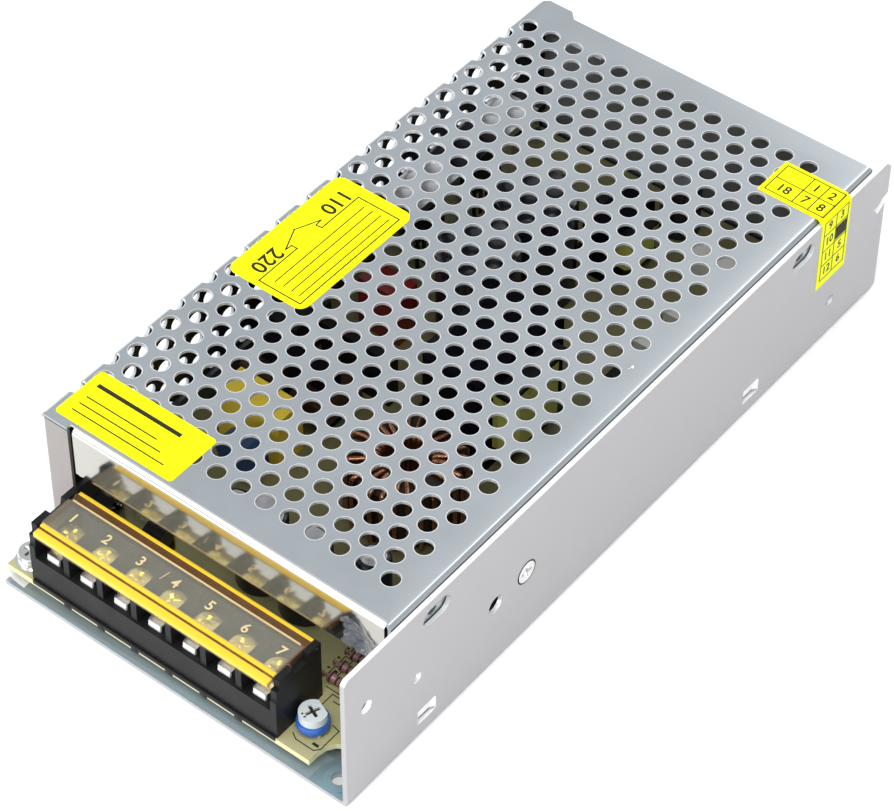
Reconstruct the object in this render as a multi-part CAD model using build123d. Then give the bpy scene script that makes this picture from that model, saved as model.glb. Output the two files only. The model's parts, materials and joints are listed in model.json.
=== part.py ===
from build123d import *
import math
import os

# Enclosed power supply with a seven-way screw terminal block.
# X runs across, Y from the terminal end to the rear, Z up from the underside. Millimetres.

# Enclosure
case_length = 199.0
case_width = 98.0
case_height = 42.0
right = case_width / 2
left = -right
back = case_length / 2
front = -back
fold_inside = 0.6
base_sheet = 1.2
right_wall_height = 40.7
left_flange_height = 13.0
cover_sheet = 0.8
front_recess = 16.1
rear_recess = 6.7
cover_side_step = 1.4
cover_lip_height = 13.5
cover_flange_height = 12.0
corner_flange = 7.7
corner_gap = 1.4
corner_flange_lift = 2.1
corner_tab = 2.1
tab_width = 11.0
sheet_gap = 0.1
relief = 0.4

# Perforations
hole_diameter = 4.3
hole_sides = 6
column_pitch = 6.77
row_pitch = 5.41
row_count = 30
top_columns = 13
first_column = 3.9
first_row = 8.7
wall_columns = 12
wall_rows = 3
wall_opening = (9.0, 5.4)
wall_end_margin = 7.0
wall_low_margin = 16.2
wall_row_pitch = 8.2

# Openings of the right wall: place along Y, height, and size
slot_places = (front + 29.8, back - 35.5)
slot_height = case_height - 6.2
slot_length = 9.0
slot_width = 5.0
flange_hole = 3.4
front_hole = (front + 6.8, 27.0, 3.4)
small_hole = (front + 23.3, 20.3, 2.8)
large_hole = (front + 49.8, 19.3, 4.8)
rear_hole = (back - 21.5, 11.5, 3.2)
bridge_places = (front + 26.5, back - 53.2)
bridge_length = 6.4
bridge_low = 4.4
bridge_high = 8.9
bridge_slit = 0.6
bridge_depth = 1.0
rear_notch = ((back - 0.9, 27.9), (back - 3.6, 26.1), (back - 5.8, 28.9), (back + 0.1, 30.6))
ear_chamfer = 1.8
front_chamfer = 1.0
rear_window_width = 17.0
rear_window_height = 7.1
corner_hole_place = (right - 5.4, front + 3.9)
corner_hole = 3.5
corner_ring = 7.0
corner_ring_height = 0.6

# Faces of small round pieces
ring_sides = 16
can_sides = 12
small_sides = 8

# Board, film and what carries them
board_thickness = 1.6
standoff_height = 3.5
standoff_diameter = 5.6
film_thickness = 0.2
board_front_inset = 0.9
board_rear_inset = 3.5
board_side_gap = 0.3
notch_radius = 5.6
screw_shank = 2.4
screw_bore_gap = 0.05
pan_head = 5.2
pan_head_height = 1.6
board_screw_places = (
    (left + 4.0, front + 5.1),
    (right - 8.0, front + 17.0),
    (left + 6.0, back - 14.5),
    (right - 8.0, back - 14.5),
)
flat_head = 6.0
flat_shank = 3.0
cover_screw_places = (front + 37.5, back - 37.5)
cover_screw_height = 10.2
cover_screw_length = 5.0

# Terminal block
way_count = 7
way_pitch = 9.8
divider = 1.6
block_centre = -6.0
block_front_inset = 1.2
block_depth = 14.8
foot_height = 0.6
shoulder_height = 8.0
bay_height = 6.7
rear_step = 2.0
block_rear_wall = 1.7
block_rear_height = 4.4
ear_height = 2.7
front_ear = (1.4, 5.9)
rear_ear = (10.8, 14.8)
contact_thickness = 1.0
contact_tongue = 3.8
contact_tongue_inset = 1.6
contact_tongue_height = 1.9
clamp_thickness = 1.0
clamp_width = 7.0
clamp_depth = 7.4
clamp_lip = 1.6
clamp_centre = 7.2
terminal_head = 6.2
terminal_head_height = 2.4
terminal_shank = 3.4
terminal_pin = 1.2

# Hinged terminal cover
cover_plate = 1.1
cover_end_gap = 0.25
cover_window_rise = 0.9
cover_hinge_inset = 1.1
hinge_pin = 1.4
hinge_gap = 0.05
cover_end_wall = 0.8
cover_end_depth = 2.0

# Output trimmer
trimmer_place = (right - 15.8, front + 8.1)
trimmer_width = 7.4
trimmer_lift = 0.9
trimmer_height = 2.6
rotor_diameter = 6.4
rotor_height = 2.2
rotor_flat = 2.5
rotor_neck = 3.0
cross_width = 0.8
cross_length = 4.4
cross_depth = 0.7
lead = 0.7

# Fuse across the front left corner
fuse_length = 20.0
fuse_diameter = 5.2
fuse_wall = 0.5
fuse_cap_length = 5.2
fuse_cap_wall = 0.3
fuse_place = (left + 16.8, front + 24.2)
fuse_lift = 5.7
clip_sheet = 0.4
clip_width = 5.0

# Voltage selector behind its window in the left wall
selector_place = -6.0
selector_length = 13.0
selector_depth = 8.0
selector_height = 11.0
selector_slot = 8.4
selector_slot_height = 3.0
selector_slot_depth = 2.6
slider_length = 4.0
slider_travel = 4.0
slider_gap = 0.2
slider_reach = 0.9
selector_window_margin = 1.5

# Stickers
sticker = 0.15
front_label = (left + 2.0, left + 35.5, front + 18.5, front + 34.0)
selector_label = (left + 2.0, left + 24.0, -26.0, 14.5)
date_label = (right - 18.0, back - 28.9, back - 17.1, 20.2)

# What follows from the sizes above
cover_front = front + front_recess
cover_back = back - rear_recess
cover_right = right - cover_side_step
base_left = left + cover_sheet
wall_inside = right - base_sheet
cover_under = case_height - cover_sheet
base_bend = fold_inside + base_sheet
cover_bend = fold_inside + cover_sheet
rear_wall_back = cover_back + base_sheet
board_low = base_sheet + standoff_height
board_top = board_low + board_thickness
board_right = wall_inside - bridge_depth - board_side_gap
board_left = base_left + base_sheet + board_side_gap
board_front = front + board_front_inset
board_back = cover_back - board_rear_inset
block_width = way_count * way_pitch + divider
block_left = block_centre - block_width / 2
block_right = block_centre + block_width / 2
block_front = front + block_front_inset
block_back = block_front + block_depth
shoulder = board_top + shoulder_height
bay_top = shoulder + bay_height


def slab(x0, x1, y0, y1, z0, z1):
    """A block between two opposite corners."""
    return Pos((x0 + x1) / 2, (y0 + y1) / 2, (z0 + z1) / 2) * Box(x1 - x0, y1 - y0, z1 - z0)


def bar(length, diameter, sides):
    """A bar centred on the origin along Z: round, or with a number of sides."""
    if sides:
        return Pos(0, 0, -length / 2) * extrude(RegularPolygon(diameter / 2, sides), length)
    return Cylinder(diameter / 2, length)


def post(x, y, z0, z1, diameter, sides=0):
    """An upright bar."""
    return Pos(x, y, (z0 + z1) / 2) * bar(z1 - z0, diameter, sides)


def rod_x(x0, x1, y, z, diameter, sides=0):
    """A bar that lies along X."""
    return Pos((x0 + x1) / 2, y, z) * Rot(0, 90, 0) * bar(x1 - x0, diameter, sides)


def rod_y(x, y0, y1, z, diameter, sides=0):
    """A bar that lies along Y."""
    return Pos(x, (y0 + y1) / 2, z) * Rot(90, 0, 0) * bar(y1 - y0, diameter, sides)


def along_x(face, x0, x1):
    """A Y-Z section drawn out along X."""
    return Pos(x0, 0, 0) * extrude(Plane.YZ * face, x1 - x0)


def along_y(face, y0, y1):
    """An X-Z section drawn out along Y."""
    return Pos(0, y1, 0) * extrude(Plane.XZ * face, y1 - y0)


def along_z(face, z0, z1):
    """An X-Y outline drawn upwards."""
    return Pos(0, 0, z0) * extrude(face, z1 - z0)


def outline(*points):
    """A flat face with straight edges."""
    return make_face(Polyline(*points, close=True))


def rounded(face, points, radius):
    """A flat face with some of its corners rounded."""
    near = 1e-3
    corners = [v for v in face.vertices() if any(math.dist((v.X, v.Y), point) < near for point in points)]
    return face.fillet_2d(radius, corners)


def folded(outer, inner, sheet):
    """The section of a folded sheet, from its outer and its inner line."""
    face = outline(*outer, *reversed(inner)).face()
    return rounded(rounded(face, outer[1:-1], fold_inside + sheet), inner[1:-1], fold_inside)


def group(pieces):
    """Like pieces that stay separate solids."""
    return Compound(children=[piece.solid() for piece in pieces])


def cut_all(body, tools):
    """The body less every tool."""
    return body - tools


def side_hole(y, z, diameter, sides=0):
    """A tool for a hole through the right wall."""
    return rod_x(wall_inside - base_sheet, right + base_sheet, y, z, diameter, sides)


def side_slot(y):
    """A tool for a round-ended slot through the right wall."""
    reach = (slot_length - slot_width) / 2
    wall = (wall_inside - base_sheet, right + base_sheet)
    middle = slab(*wall, y - reach, y + reach, slot_height - slot_width / 2, slot_height + slot_width / 2)
    for end in (y - reach, y + reach):
        middle += side_hole(end, slot_height, slot_width, ring_sides)
    return middle


def flush_screw(face, inward, y, z, length, clearance):
    """A screw along X with its head flush in a wall, grown by a clearance."""
    low, high = sorted((face, face + inward * base_sheet))
    head = rod_x(low, high, y, z, flat_head + 2 * clearance, small_sides)
    low, high = sorted((face, face + inward * length))
    return head + rod_x(low, high, y, z, flat_shank + 2 * clearance, small_sides)


def cover_side_screw(y, length, clearance):
    """A flush screw through the cover's left wall, grown by a clearance."""
    return flush_screw(left, 1, y, cover_screw_height, length, clearance)


def wall_bridge(y):
    """The strip between two slits of the right wall, pressed inwards."""
    run = bridge_length / 2
    flat = run - bridge_depth * 1.4
    deep = right - bridge_depth
    points = [(right, y - run), (deep, y - flat), (deep, y + flat), (right, y + run)]
    inner = [(x - base_sheet, v) for x, v in reversed(points)]
    return along_z(outline(*points, *inner), bridge_low + bridge_slit, bridge_high - bridge_slit)


def base_channel():
    """Floor, right wall and low left flange, folded from one sheet, with the front corner left open."""
    outer = [(base_left, left_flange_height), (base_left, 0), (right, 0), (right, right_wall_height)]
    inner_left = base_left + base_sheet
    inner = [
        (inner_left, left_flange_height),
        (inner_left, base_sheet),
        (wall_inside, base_sheet),
        (wall_inside, right_wall_height),
    ]
    channel = along_y(folded(outer, inner, base_sheet), front, back)
    flange_front = cover_front + cover_bend + relief
    channel -= slab(left, base_left + base_bend, front, flange_front, 0, left_flange_height)
    channel += slab(left, base_left + base_bend, front, cover_front - relief, 0, base_sheet)
    channel += slab(base_left, base_left + base_bend, cover_front - relief, flange_front, 0, base_sheet)
    return channel


def base_rear_wall():
    """Rear wall, folded up from the floor, with a window in its upper left corner."""
    foot = rear_wall_back - 2 * base_bend
    outer = [(foot, 0), (rear_wall_back, 0), (rear_wall_back, right_wall_height)]
    inner = [(foot, base_sheet), (cover_back, base_sheet), (cover_back, right_wall_height)]
    wall = along_x(folded(outer, inner, base_sheet), base_left + base_bend, right - base_bend)
    window_right = base_left + base_bend + rear_window_width
    window_low = right_wall_height - rear_window_height
    return wall - slab(left, window_right, foot, back, window_low, case_height)


def base_chassis():
    """The one folded sheet that carries everything."""
    base = base_channel()
    base -= slab(left, right - base_bend, rear_wall_back - base_bend, back, 0, case_height)
    base += base_rear_wall()
    (lip_y, lip_z), inner_low, inner_high, (ear_y, ear_z) = rear_notch
    notch = [(back + relief, 0), (lip_y, 0), (lip_y, lip_z), inner_low, inner_high, (ear_y, ear_z)]
    wall = (wall_inside - base_bend, right)
    base -= along_x(outline(*notch, (back + relief, ear_z)), *wall)
    top = right_wall_height
    for end, cut in ((back, -ear_chamfer), (front, front_chamfer)):
        base -= along_x(outline((end + cut, top), (end, top), (end, top - abs(cut))), *wall)
    tools = [side_slot(y) for y in slot_places]
    tools += [side_hole(*front_hole)]
    tools += [side_hole(*hole, ring_sides) for hole in (small_hole, large_hole, rear_hole)]
    run = bridge_length / 2
    tools += [slab(wall_inside, right, y - run, y + run, bridge_low, bridge_high) for y in bridge_places]
    tools += [flush_screw(right, -1, *rectifier_screw_place, base_bend, sheet_gap)]
    tools += [cover_side_screw(y, cover_screw_length, sheet_gap) for y in cover_screw_places]
    low, _ = selector_window()
    reach = selector_length / 2 + selector_window_margin
    y0, y1 = selector_place - reach, selector_place + reach
    tools += [slab(left, base_left + base_bend, y0, y1, low, case_height)]
    base = cut_all(base, tools)
    for y in bridge_places:
        base += wall_bridge(y)
    base += post(*corner_hole_place, base_sheet, base_sheet + corner_ring_height, corner_ring, ring_sides)
    return base - post(*corner_hole_place, 0, base_sheet + corner_ring_height, corner_hole)


def hidden_by_label(x, y):
    """True where a sticker lies over a whole hole of the top."""
    reach = hole_diameter / 2
    for x0, x1, y0, y1 in (front_label, selector_label):
        if x0 + reach < x < x1 - reach and y0 + reach < y < y1 - reach:
            return True
    return x > date_label[0] + reach and date_label[1] + reach < y < date_label[2] - reach


def hole_face():
    """A perforation as a many-sided opening with the round hole's area."""
    share = hole_sides * math.sin(2 * math.pi / hole_sides) / 2
    return RegularPolygon(hole_diameter / 2 * math.sqrt(math.pi / share), hole_sides)


def cover_perforations():
    """Staggered holes of the top."""
    holes = []
    for row in range(row_count):
        y = cover_back - first_row - row * row_pitch
        stagger = (row % 2) * column_pitch / 2
        for column in range(top_columns):
            x = left + first_column + stagger + column * column_pitch
            if not hidden_by_label(x, y):
                holes.append(along_z(Pos(x, y) * hole_face(), cover_under, case_height))
    return holes


def wall_openings():
    """A plain grid of openings in the left wall, as open as its small round holes together."""
    length, height = wall_opening
    first = cover_front + wall_end_margin
    pitch = (cover_back - wall_end_margin - first) / wall_columns
    openings = []
    for column in range(wall_columns):
        y = first + (column + 0.5) * pitch
        for row in range(wall_rows):
            low = wall_low_margin + row * wall_row_pitch
            openings.append(slab(left, base_left, y - length / 2, y + length / 2, low, low + height))
    return openings


def cover_channel():
    """Left wall, top and right flange, folded from one sheet."""
    low = case_height - cover_flange_height
    outer = [(left, 0), (left, case_height), (cover_right, case_height), (cover_right, low)]
    inner = [
        (left + cover_sheet, 0),
        (left + cover_sheet, cover_under),
        (cover_right - cover_sheet, cover_under),
        (cover_right - cover_sheet, low),
    ]
    return along_y(folded(outer, inner, cover_sheet), cover_front, cover_back + corner_tab)


def cover_lip():
    """Front lip, folded down behind the terminals."""
    low = case_height - cover_lip_height
    end = cover_front + 2 * cover_bend
    inner_front = cover_front + cover_sheet
    outer = [(cover_front, low), (cover_front, case_height), (end, case_height)]
    inner = [(inner_front, low), (inner_front, cover_under), (end, cover_under)]
    start = left + corner_flange + corner_gap
    return along_x(folded(outer, inner, cover_sheet), start, cover_right - cover_bend)


def corner_return(edge, inward, low):
    """A flange folded inwards from the left wall at its front or rear edge."""
    outer = [(left, edge + inward * 2 * cover_bend), (left, edge), (left + corner_flange, edge)]
    inner_edge = edge + inward * cover_sheet
    inner = [
        (left + cover_sheet, edge + inward * 2 * cover_bend),
        (left + cover_sheet, inner_edge),
        (left + corner_flange, inner_edge),
    ]
    return along_z(folded(outer, inner, cover_sheet), low, cover_under - relief)


def selector_window():
    """The lower and upper edges of the selector's window in the left wall."""
    low = board_top + (selector_height - selector_slot_height) / 2 - selector_window_margin
    return low, low + selector_slot_height + 2 * selector_window_margin


def perforated_cover():
    """Top, left wall, front lip, right flange and corner flanges in one folded, perforated sheet."""
    cover = cover_channel()
    rear = cover_back + corner_tab
    past = cover_right + relief
    fold_end = cover_right - cover_bend
    lip_back = cover_front + cover_bend
    cover -= slab(left + corner_flange, fold_end + sheet_gap, cover_front, lip_back, 0, case_height)
    cover -= slab(fold_end, past, cover_front, cover_front + relief, 0, case_height)
    cover -= slab(left, left + cover_bend, cover_front, lip_back, 0, cover_under - relief)
    cover -= slab(left, left + cover_bend, rear - cover_bend, rear, 0, cover_under - relief)
    step = outline(
        (left + tab_width, cover_back),
        (left + tab_width - corner_tab, rear),
        (past, rear),
        (past, cover_back),
    )
    cover -= along_z(step, 0, case_height)
    chamfer = outline((left, rear - corner_tab), (left, rear), (left + corner_tab, rear))
    cover -= along_z(chamfer, cover_under - relief, case_height)
    cover += cover_lip() + corner_return(cover_front, 1, board_top + corner_flange_lift)
    cover += corner_return(rear, -1, 0)
    low, high = selector_window()
    half = selector_slot / 2 + selector_window_margin
    inside = cover_right - cover_sheet
    tools = cover_perforations() + wall_openings()
    tools += [slab(left, base_left, selector_place - half, selector_place + half, low, high)]
    for y in slot_places:
        tools += [rod_x(inside - cover_sheet, past, y, slot_height, flange_hole, small_sides)]
    tools += [cover_side_screw(y, cover_sheet, sheet_gap) for y in cover_screw_places]
    return cut_all(cover, tools)


def stepped_outline(wide, narrow, margin, y0):
    """The board's outline: wider in front of the cover, grown by a margin at its right and rear."""
    step = cover_front - relief
    x1 = board_right + margin
    y1 = board_back + margin
    return outline((wide, y0), (x1, y0), (x1, y1), (narrow, y1), (narrow, step), (wide, step))


def corner_notch(radius):
    """The curved notch of the front right corner, round the enclosure's screw hole."""
    x, y = corner_hole_place
    corner = Rectangle(2 * radius, 2 * radius)
    notch = Pos(x, y) * RegularPolygon(radius, ring_sides)
    return notch + Pos(x, y - radius) * corner + Pos(x + radius, y) * corner


def insulation_film():
    """The clear film between the board and the floor."""
    narrow = base_left + base_bend + sheet_gap
    film = stepped_outline(left + sheet_gap, narrow, board_side_gap / 2, front + relief / 2)
    film -= corner_notch(notch_radius - relief)
    for x, y in board_screw_places:
        film -= Pos(x, y) * RegularPolygon(standoff_diameter / 2 + relief, 6)
    return along_z(film, base_sheet, base_sheet + film_thickness)


def circuit_board():
    """The single-sided board, on four standoffs."""
    board = stepped_outline(left + relief, board_left, 0, board_front) - corner_notch(notch_radius)
    for x, y in board_screw_places:
        board -= Pos(x, y) * RegularPolygon(screw_shank / 2 + sheet_gap, small_sides)
    return along_z(board, board_low, board_top)


def board_standoffs():
    """Six-sided threaded pillars pressed into the floor."""
    bore = screw_shank + 2 * screw_bore_gap
    return group(
        post(x, y, base_sheet, board_low, standoff_diameter, 6)
        - post(x, y, base_sheet, board_low, bore, small_sides)
        for x, y in board_screw_places
    )


def board_screws():
    """Pan-head screws that hold the board down."""
    return group(
        post(x, y, board_top, board_top + pan_head_height, pan_head, small_sides)
        + post(x, y, base_sheet + relief, board_top, screw_shank, small_sides)
        for x, y in board_screw_places
    )


def cover_side_screws():
    """The two screws that hold the cover's left wall to the base."""
    return group(cover_side_screw(y, cover_screw_length, 0) for y in cover_screw_places)


def way_centres():
    """The X places of the terminal ways."""
    first = block_left + divider / 2 + way_pitch / 2
    return [first + way * way_pitch for way in range(way_count)]


def end_wall(x):
    """An end wall of the terminal block with its two ears."""
    y = block_front
    low = bay_top + ear_height - rear_step
    points = [
        (y, board_top),
        (y, shoulder + bay_height / 2),
        (y + 2 * relief, shoulder + bay_height / 2 + relief),
        (y + front_ear[0], bay_top - relief),
        (y + front_ear[0], bay_top + ear_height),
        (y + front_ear[1], bay_top + ear_height),
        (y + front_ear[1] + relief, low),
        (y + rear_ear[0] - relief, low),
        (y + rear_ear[0], bay_top + ear_height),
        (y + rear_ear[1], bay_top + ear_height),
        (y + rear_ear[1], board_top),
    ]
    return along_x(outline(*points), x - divider / 2, x + divider / 2)


def hinge_point():
    """The hinge axis of the terminal cover, in Y and Z."""
    return block_back - cover_hinge_inset, bay_top + relief + cover_plate


def terminal_block_body():
    """Moulded body: a shouldered base, a low rear wall, dividers and two eared end walls."""
    bottom = board_top + foot_height
    body = slab(block_left, block_right, block_front, block_back, bottom, shoulder)
    rear_top = shoulder + block_rear_height
    body += slab(block_left, block_right, block_back - block_rear_wall, block_back, shoulder, rear_top)
    step_back = block_back - rear_ear[1] + rear_ear[0] - relief
    walls = [block_left + divider / 2 + way * way_pitch for way in range(way_count + 1)]
    for x in walls:
        x0, x1 = x - divider / 2, x + divider / 2
        body += slab(x0, x1, block_front + relief, step_back, shoulder, bay_top)
        body += slab(x0, x1, step_back, block_back, shoulder, rear_top)
        body += slab(x0, x1, block_front, block_back, board_top, bottom)
    body += end_wall(walls[0]) + end_wall(walls[-1])
    axis_y, axis_z = hinge_point()
    pin_room = hinge_pin + 2 * hinge_gap
    body -= rod_x(block_left, block_right, axis_y, axis_z, pin_room, ring_sides)
    bore = terminal_shank + 2 * screw_bore_gap
    bores = [post(x, block_front + clamp_centre, bottom, shoulder, bore, small_sides) for x in way_centres()]
    half = terminal_pin / 2
    pin_y = contact_pin_y()
    pins = [slab(x - half, x + half, pin_y - half, pin_y + half, bottom, shoulder) for x in way_centres()]
    return cut_all(body, bores + pins)


def contact_pin_y():
    """The Y place of the solder pins, behind the screws."""
    return block_back - block_rear_wall - terminal_pin


def terminal_contacts():
    """Flat contacts on the shoulder, each with a thick tongue in front and a pin down to the board."""
    bore = terminal_shank + 2 * screw_bore_gap
    y0 = block_front + clamp_centre - clamp_depth / 2
    y1 = contact_pin_y() + terminal_pin / 2
    half = terminal_pin / 2
    tongue = contact_tongue / 2
    tip = block_front + contact_tongue_inset
    tongue_top = shoulder + contact_tongue_height
    return group(
        slab(x - clamp_width / 2, x + clamp_width / 2, y0, y1, shoulder, shoulder + contact_thickness)
        + slab(x - tongue, x + tongue, tip, y0, shoulder, tongue_top)
        + slab(x - half, x + half, y1 - terminal_pin, y1, board_top, shoulder)
        - post(x, block_front + clamp_centre, shoulder, shoulder + contact_thickness, bore, small_sides)
        for x in way_centres()
    )


def terminal_clamp_plates():
    """Square clamp plates with a turned-up front lip, one under each screw."""
    low = shoulder + contact_thickness
    high = low + clamp_thickness
    y = block_front + clamp_centre
    reach = clamp_depth / 2
    half = clamp_width / 2
    bore = terminal_shank + 2 * screw_bore_gap
    return group(
        slab(x - half, x + half, y - reach, y + reach, low, high)
        + slab(x - half, x + half, y - reach, y - reach + clamp_thickness / 2, high, high + clamp_lip)
        - post(x, y, low, high, bore, small_sides)
        for x in way_centres()
    )


def terminal_screws():
    """Cheese-head screws of the seven ways."""
    low = shoulder + contact_thickness + clamp_thickness
    y = block_front + clamp_centre
    return group(
        post(x, y, low, low + terminal_head_height, terminal_head, can_sides)
        + post(x, y, board_top + foot_height + relief, low, terminal_shank, small_sides)
        for x in way_centres()
    )


def terminal_cover():
    """Clear hinged cover: raised window, stepped front edge, end walls, hinge strip and two pins."""
    y0 = block_front - relief / 2
    low = bay_top + relief
    ledge = low + cover_plate / 2
    strip_top = ledge + cover_plate
    top = strip_top + cover_window_rise
    rear = block_back + relief / 2
    lip = y0 + cover_plate
    window_front = lip + 2 * cover_plate
    window_back = rear - 3 * cover_plate
    face = outline(
        (rear, strip_top),
        (window_back, strip_top),
        (window_back - relief, top),
        (window_front, top),
        (window_front - cover_window_rise, strip_top),
        (y0, strip_top),
        (y0, low),
        (lip, low),
        (lip, ledge),
        (window_front - relief, ledge),
        (window_front + relief, top - cover_plate),
        (window_back - 2 * relief, top - cover_plate),
        (window_back - relief, ledge),
        (rear, ledge),
    )
    x0 = block_left + divider + cover_end_gap
    x1 = block_right - divider - cover_end_gap
    cover = along_x(face, x0, x1)
    side = (window_front, window_back - relief, low - cover_end_depth, top - cover_plate)
    cover += slab(x0, x0 + cover_end_wall, *side) + slab(x1 - cover_end_wall, x1, *side)
    axis_y, axis_z = hinge_point()
    pin_out = divider + cover_end_gap
    cover += rod_x(x0 - pin_out + relief, x0, axis_y, axis_z, hinge_pin)
    return cover + rod_x(x1, x1 + pin_out - relief, axis_y, axis_z, hinge_pin)


def trimmer_body():
    """Trimmer housing on three leads."""
    x, y = trimmer_place
    half = trimmer_width / 3
    low = board_top + trimmer_lift
    high = low + trimmer_height
    body = post(x, y, low, high, trimmer_width, can_sides)
    body -= post(x, y, low + trimmer_height / 2, high, rotor_neck + 2 * hinge_gap, ring_sides)
    leads = ((-half, -half / 2), (half, -half / 2), (0, half))
    for dx, dy in leads:
        body += post(x + dx, y + dy, board_top, low, lead, 4)
    return body


def trimmer_rotor():
    """Trimmer disc with a flat on its rim, a cross slot and a neck that turns in the housing."""
    x, y = trimmer_place
    low = board_top + trimmer_lift + trimmer_height
    high = low + rotor_height
    rotor = post(x, y, low, high, rotor_diameter, ring_sides)
    rotor += post(x, y, low - trimmer_height / 2 + sheet_gap, low, rotor_neck)
    rotor -= slab(x + rotor_flat, x + rotor_diameter, y - rotor_diameter, y + rotor_diameter, low, high)
    for dx, dy in ((cross_length / 2, cross_width / 2), (cross_width / 2, cross_length / 2)):
        rotor -= slab(x - dx, x + dx, y - dy, y + dy, high - cross_depth, high)
    return rotor


def fuse_ends():
    """The X places of the fuse's ends and its axis height."""
    x = fuse_place[0]
    return x - fuse_length / 2, x + fuse_length / 2, board_top + fuse_lift


def fuse_glass():
    """Glass tube."""
    x0, x1, z = fuse_ends()
    outer = fuse_diameter - 2 * fuse_cap_wall
    y = fuse_place[1]
    tube = rod_x(x0 + fuse_cap_wall, x1 - fuse_cap_wall, y, z, outer, can_sides)
    return tube - rod_x(x0, x1, y, z, outer - 2 * fuse_wall, can_sides)


def fuse_caps():
    """Metal cups over both ends of the tube."""
    x0, x1, z = fuse_ends()
    y = fuse_place[1]
    inner = fuse_diameter - 2 * fuse_cap_wall
    return group(
        [
            rod_x(x0, x0 + fuse_cap_length, y, z, fuse_diameter, can_sides)
            - rod_x(x0 + fuse_cap_wall, x0 + fuse_cap_length, y, z, inner, can_sides),
            rod_x(x1 - fuse_cap_length, x1, y, z, fuse_diameter, can_sides)
            - rod_x(x1 - fuse_cap_length, x1 - fuse_cap_wall, y, z, inner, can_sides),
        ]
    )


def fuse_clip(x):
    """A sprung clip on the board: a foot and two arms that close round the cap."""
    y = fuse_place[1]
    half = fuse_diameter / 2
    top = board_top + fuse_lift + half / 2
    points = [
        (y - half - clip_sheet, board_top),
        (y + half + clip_sheet, board_top),
        (y + half + clip_sheet, top),
        (y + half, top),
        (y + half, board_top + clip_sheet),
        (y - half, board_top + clip_sheet),
        (y - half, top),
        (y - half - clip_sheet, top),
    ]
    return along_x(outline(*points), x - clip_width / 2, x + clip_width / 2)


def fuse_clips():
    """The clips under both caps."""
    x0, x1, _ = fuse_ends()
    return group([fuse_clip(x0 + fuse_cap_length / 2), fuse_clip(x1 - fuse_cap_length / 2)])


def selector_frame():
    """The X of the selector's face and the height of its slot's centre."""
    return board_left + relief, board_top + selector_height / 2


def selector_switch_body():
    """Voltage selector housing with the slider's slot in its face."""
    x, z = selector_frame()
    y0 = selector_place - selector_length / 2
    body = slab(x, x + selector_depth, y0, y0 + selector_length, board_top, board_top + selector_height)
    s0 = selector_place - selector_slot / 2
    half = selector_slot_height / 2
    return body - slab(x, x + selector_slot_depth, s0, s0 + selector_slot, z - half, z + half)


def selector_slider():
    """The slider, with a tool slot across its tip, at the end of its travel."""
    x, z = selector_frame()
    y0 = selector_place - selector_slot / 2 + slider_gap
    half = selector_slot_height / 2 - slider_gap
    slider = slab(x - slider_reach, x + selector_slot_depth, y0, y0 + slider_length, z - half, z + half)
    middle = y0 + slider_length / 2
    slot = cross_width / 2
    tip = x - slider_reach
    return slider - slab(tip, tip + cross_depth, middle - slot, middle + slot, z - half, z + half)


# Parts on the board: place on it, then size. All stand on the board.
thermistor_place = (left + 11.0, front + 39.5)
thermistor_size = (10.0, 4.0)
surge_disc_place = (left + 24.0, front + 53.0)
surge_disc_size = (12.0, 4.5)
disc_lift = 1.5
line_capacitor_box = (left + 11.0, left + 29.0, -40.0, -31.5, 15.0)
line_choke_place = (left + 20.0, -21.5)
line_choke_size = (20.0, 14.0, 17.0)
choke_leg = 5.0
choke_winding = 2.4
bridge_box = (left + 16.0, left + 36.0, -9.5, -6.0, 15.0)
film_capacitor_box = (left + 13.5, left + 25.5, 7.0, 14.0, 15.5)
bulk_places = ((-11.0, 21.0), (-11.0, 42.5))
bulk_diameter = 20.0
bulk_height = 30.0
sink_place = left + 8.0
sink_sheet = 2.0
sink_span = (20.0, back - 29.5)
sink_height = 29.7
sink_flange = 12.0
transistor_places = (33.0, back - 44.5)
transistor_size = (4.6, 10.0, 15.5)
transformer_place = (8.5, 1.5)
transformer_core_size = (16.0, 31.0, 29.0)
core_leg = 5.0
transformer_winding_size = (26.0, 21.0)
bobbin_rim = 1.2
driver_place = (-1.5, back - 36.5)
driver_core_size = (8.0, 18.0, 16.0)
driver_winding_size = (16.0, 11.0)
rectifier_screw_place = (-39.0, 20.3)
rectifier_size = (5.0, 16.0, 17.5)
rectifier_top = 25.0
pad_thickness = 0.3
nut_width = 6.3
nut_height = 2.4
rectifier_lead_pitch = 5.4
rectifier_screw_spare = 1.0
choke_place = (right - 39.5, -31.0)
choke_outer = 26.0
choke_bore = 13.0
choke_core_height = 15.0
choke_turns = 15
choke_wire = 1.3
choke_turn_share = 0.86
output_capacitor_places = ((-2.2, front + 33.2), (10.6, front + 32.7))
output_capacitor_diameter = 12.5
output_capacitor_height = 20.7
small_capacitors = (
    (-14.5, front + 38.5, 8.0, 12.0),
    (24.5, front + 39.0, 8.0, 21.0),
    (right - 13.0, front + 35.5, 8.0, 12.0),
    (right - 13.0, 4.0, 6.3, 11.0),
    (4.0, back - 18.5, 10.0, 16.0),
)
chip_box = (right - 27.0, right - 7.0, 24.0, 30.5, 3.6)
chip_lift = 0.8
chip_pins = 5
chip_pin = 0.5
coupler_places = ((20.0, 40.0), (20.0, 52.0))
coupler_size = (6.5, 4.6, 3.6)
resistor_places = ((31.0, front + 20.1), (31.0, front + 23.9), (31.0, front + 27.7))
resistor_size = (2.4, 6.5)
resistor_lead = 1.8
cement_box = (14.0, 36.0, back - 29.5, back - 23.5, 6.5)


def on_board(box):
    """A block that stands on the board."""
    x0, x1, y0, y1, height = box
    return slab(x0, x1, y0, y1, board_top, board_top + height)


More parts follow.
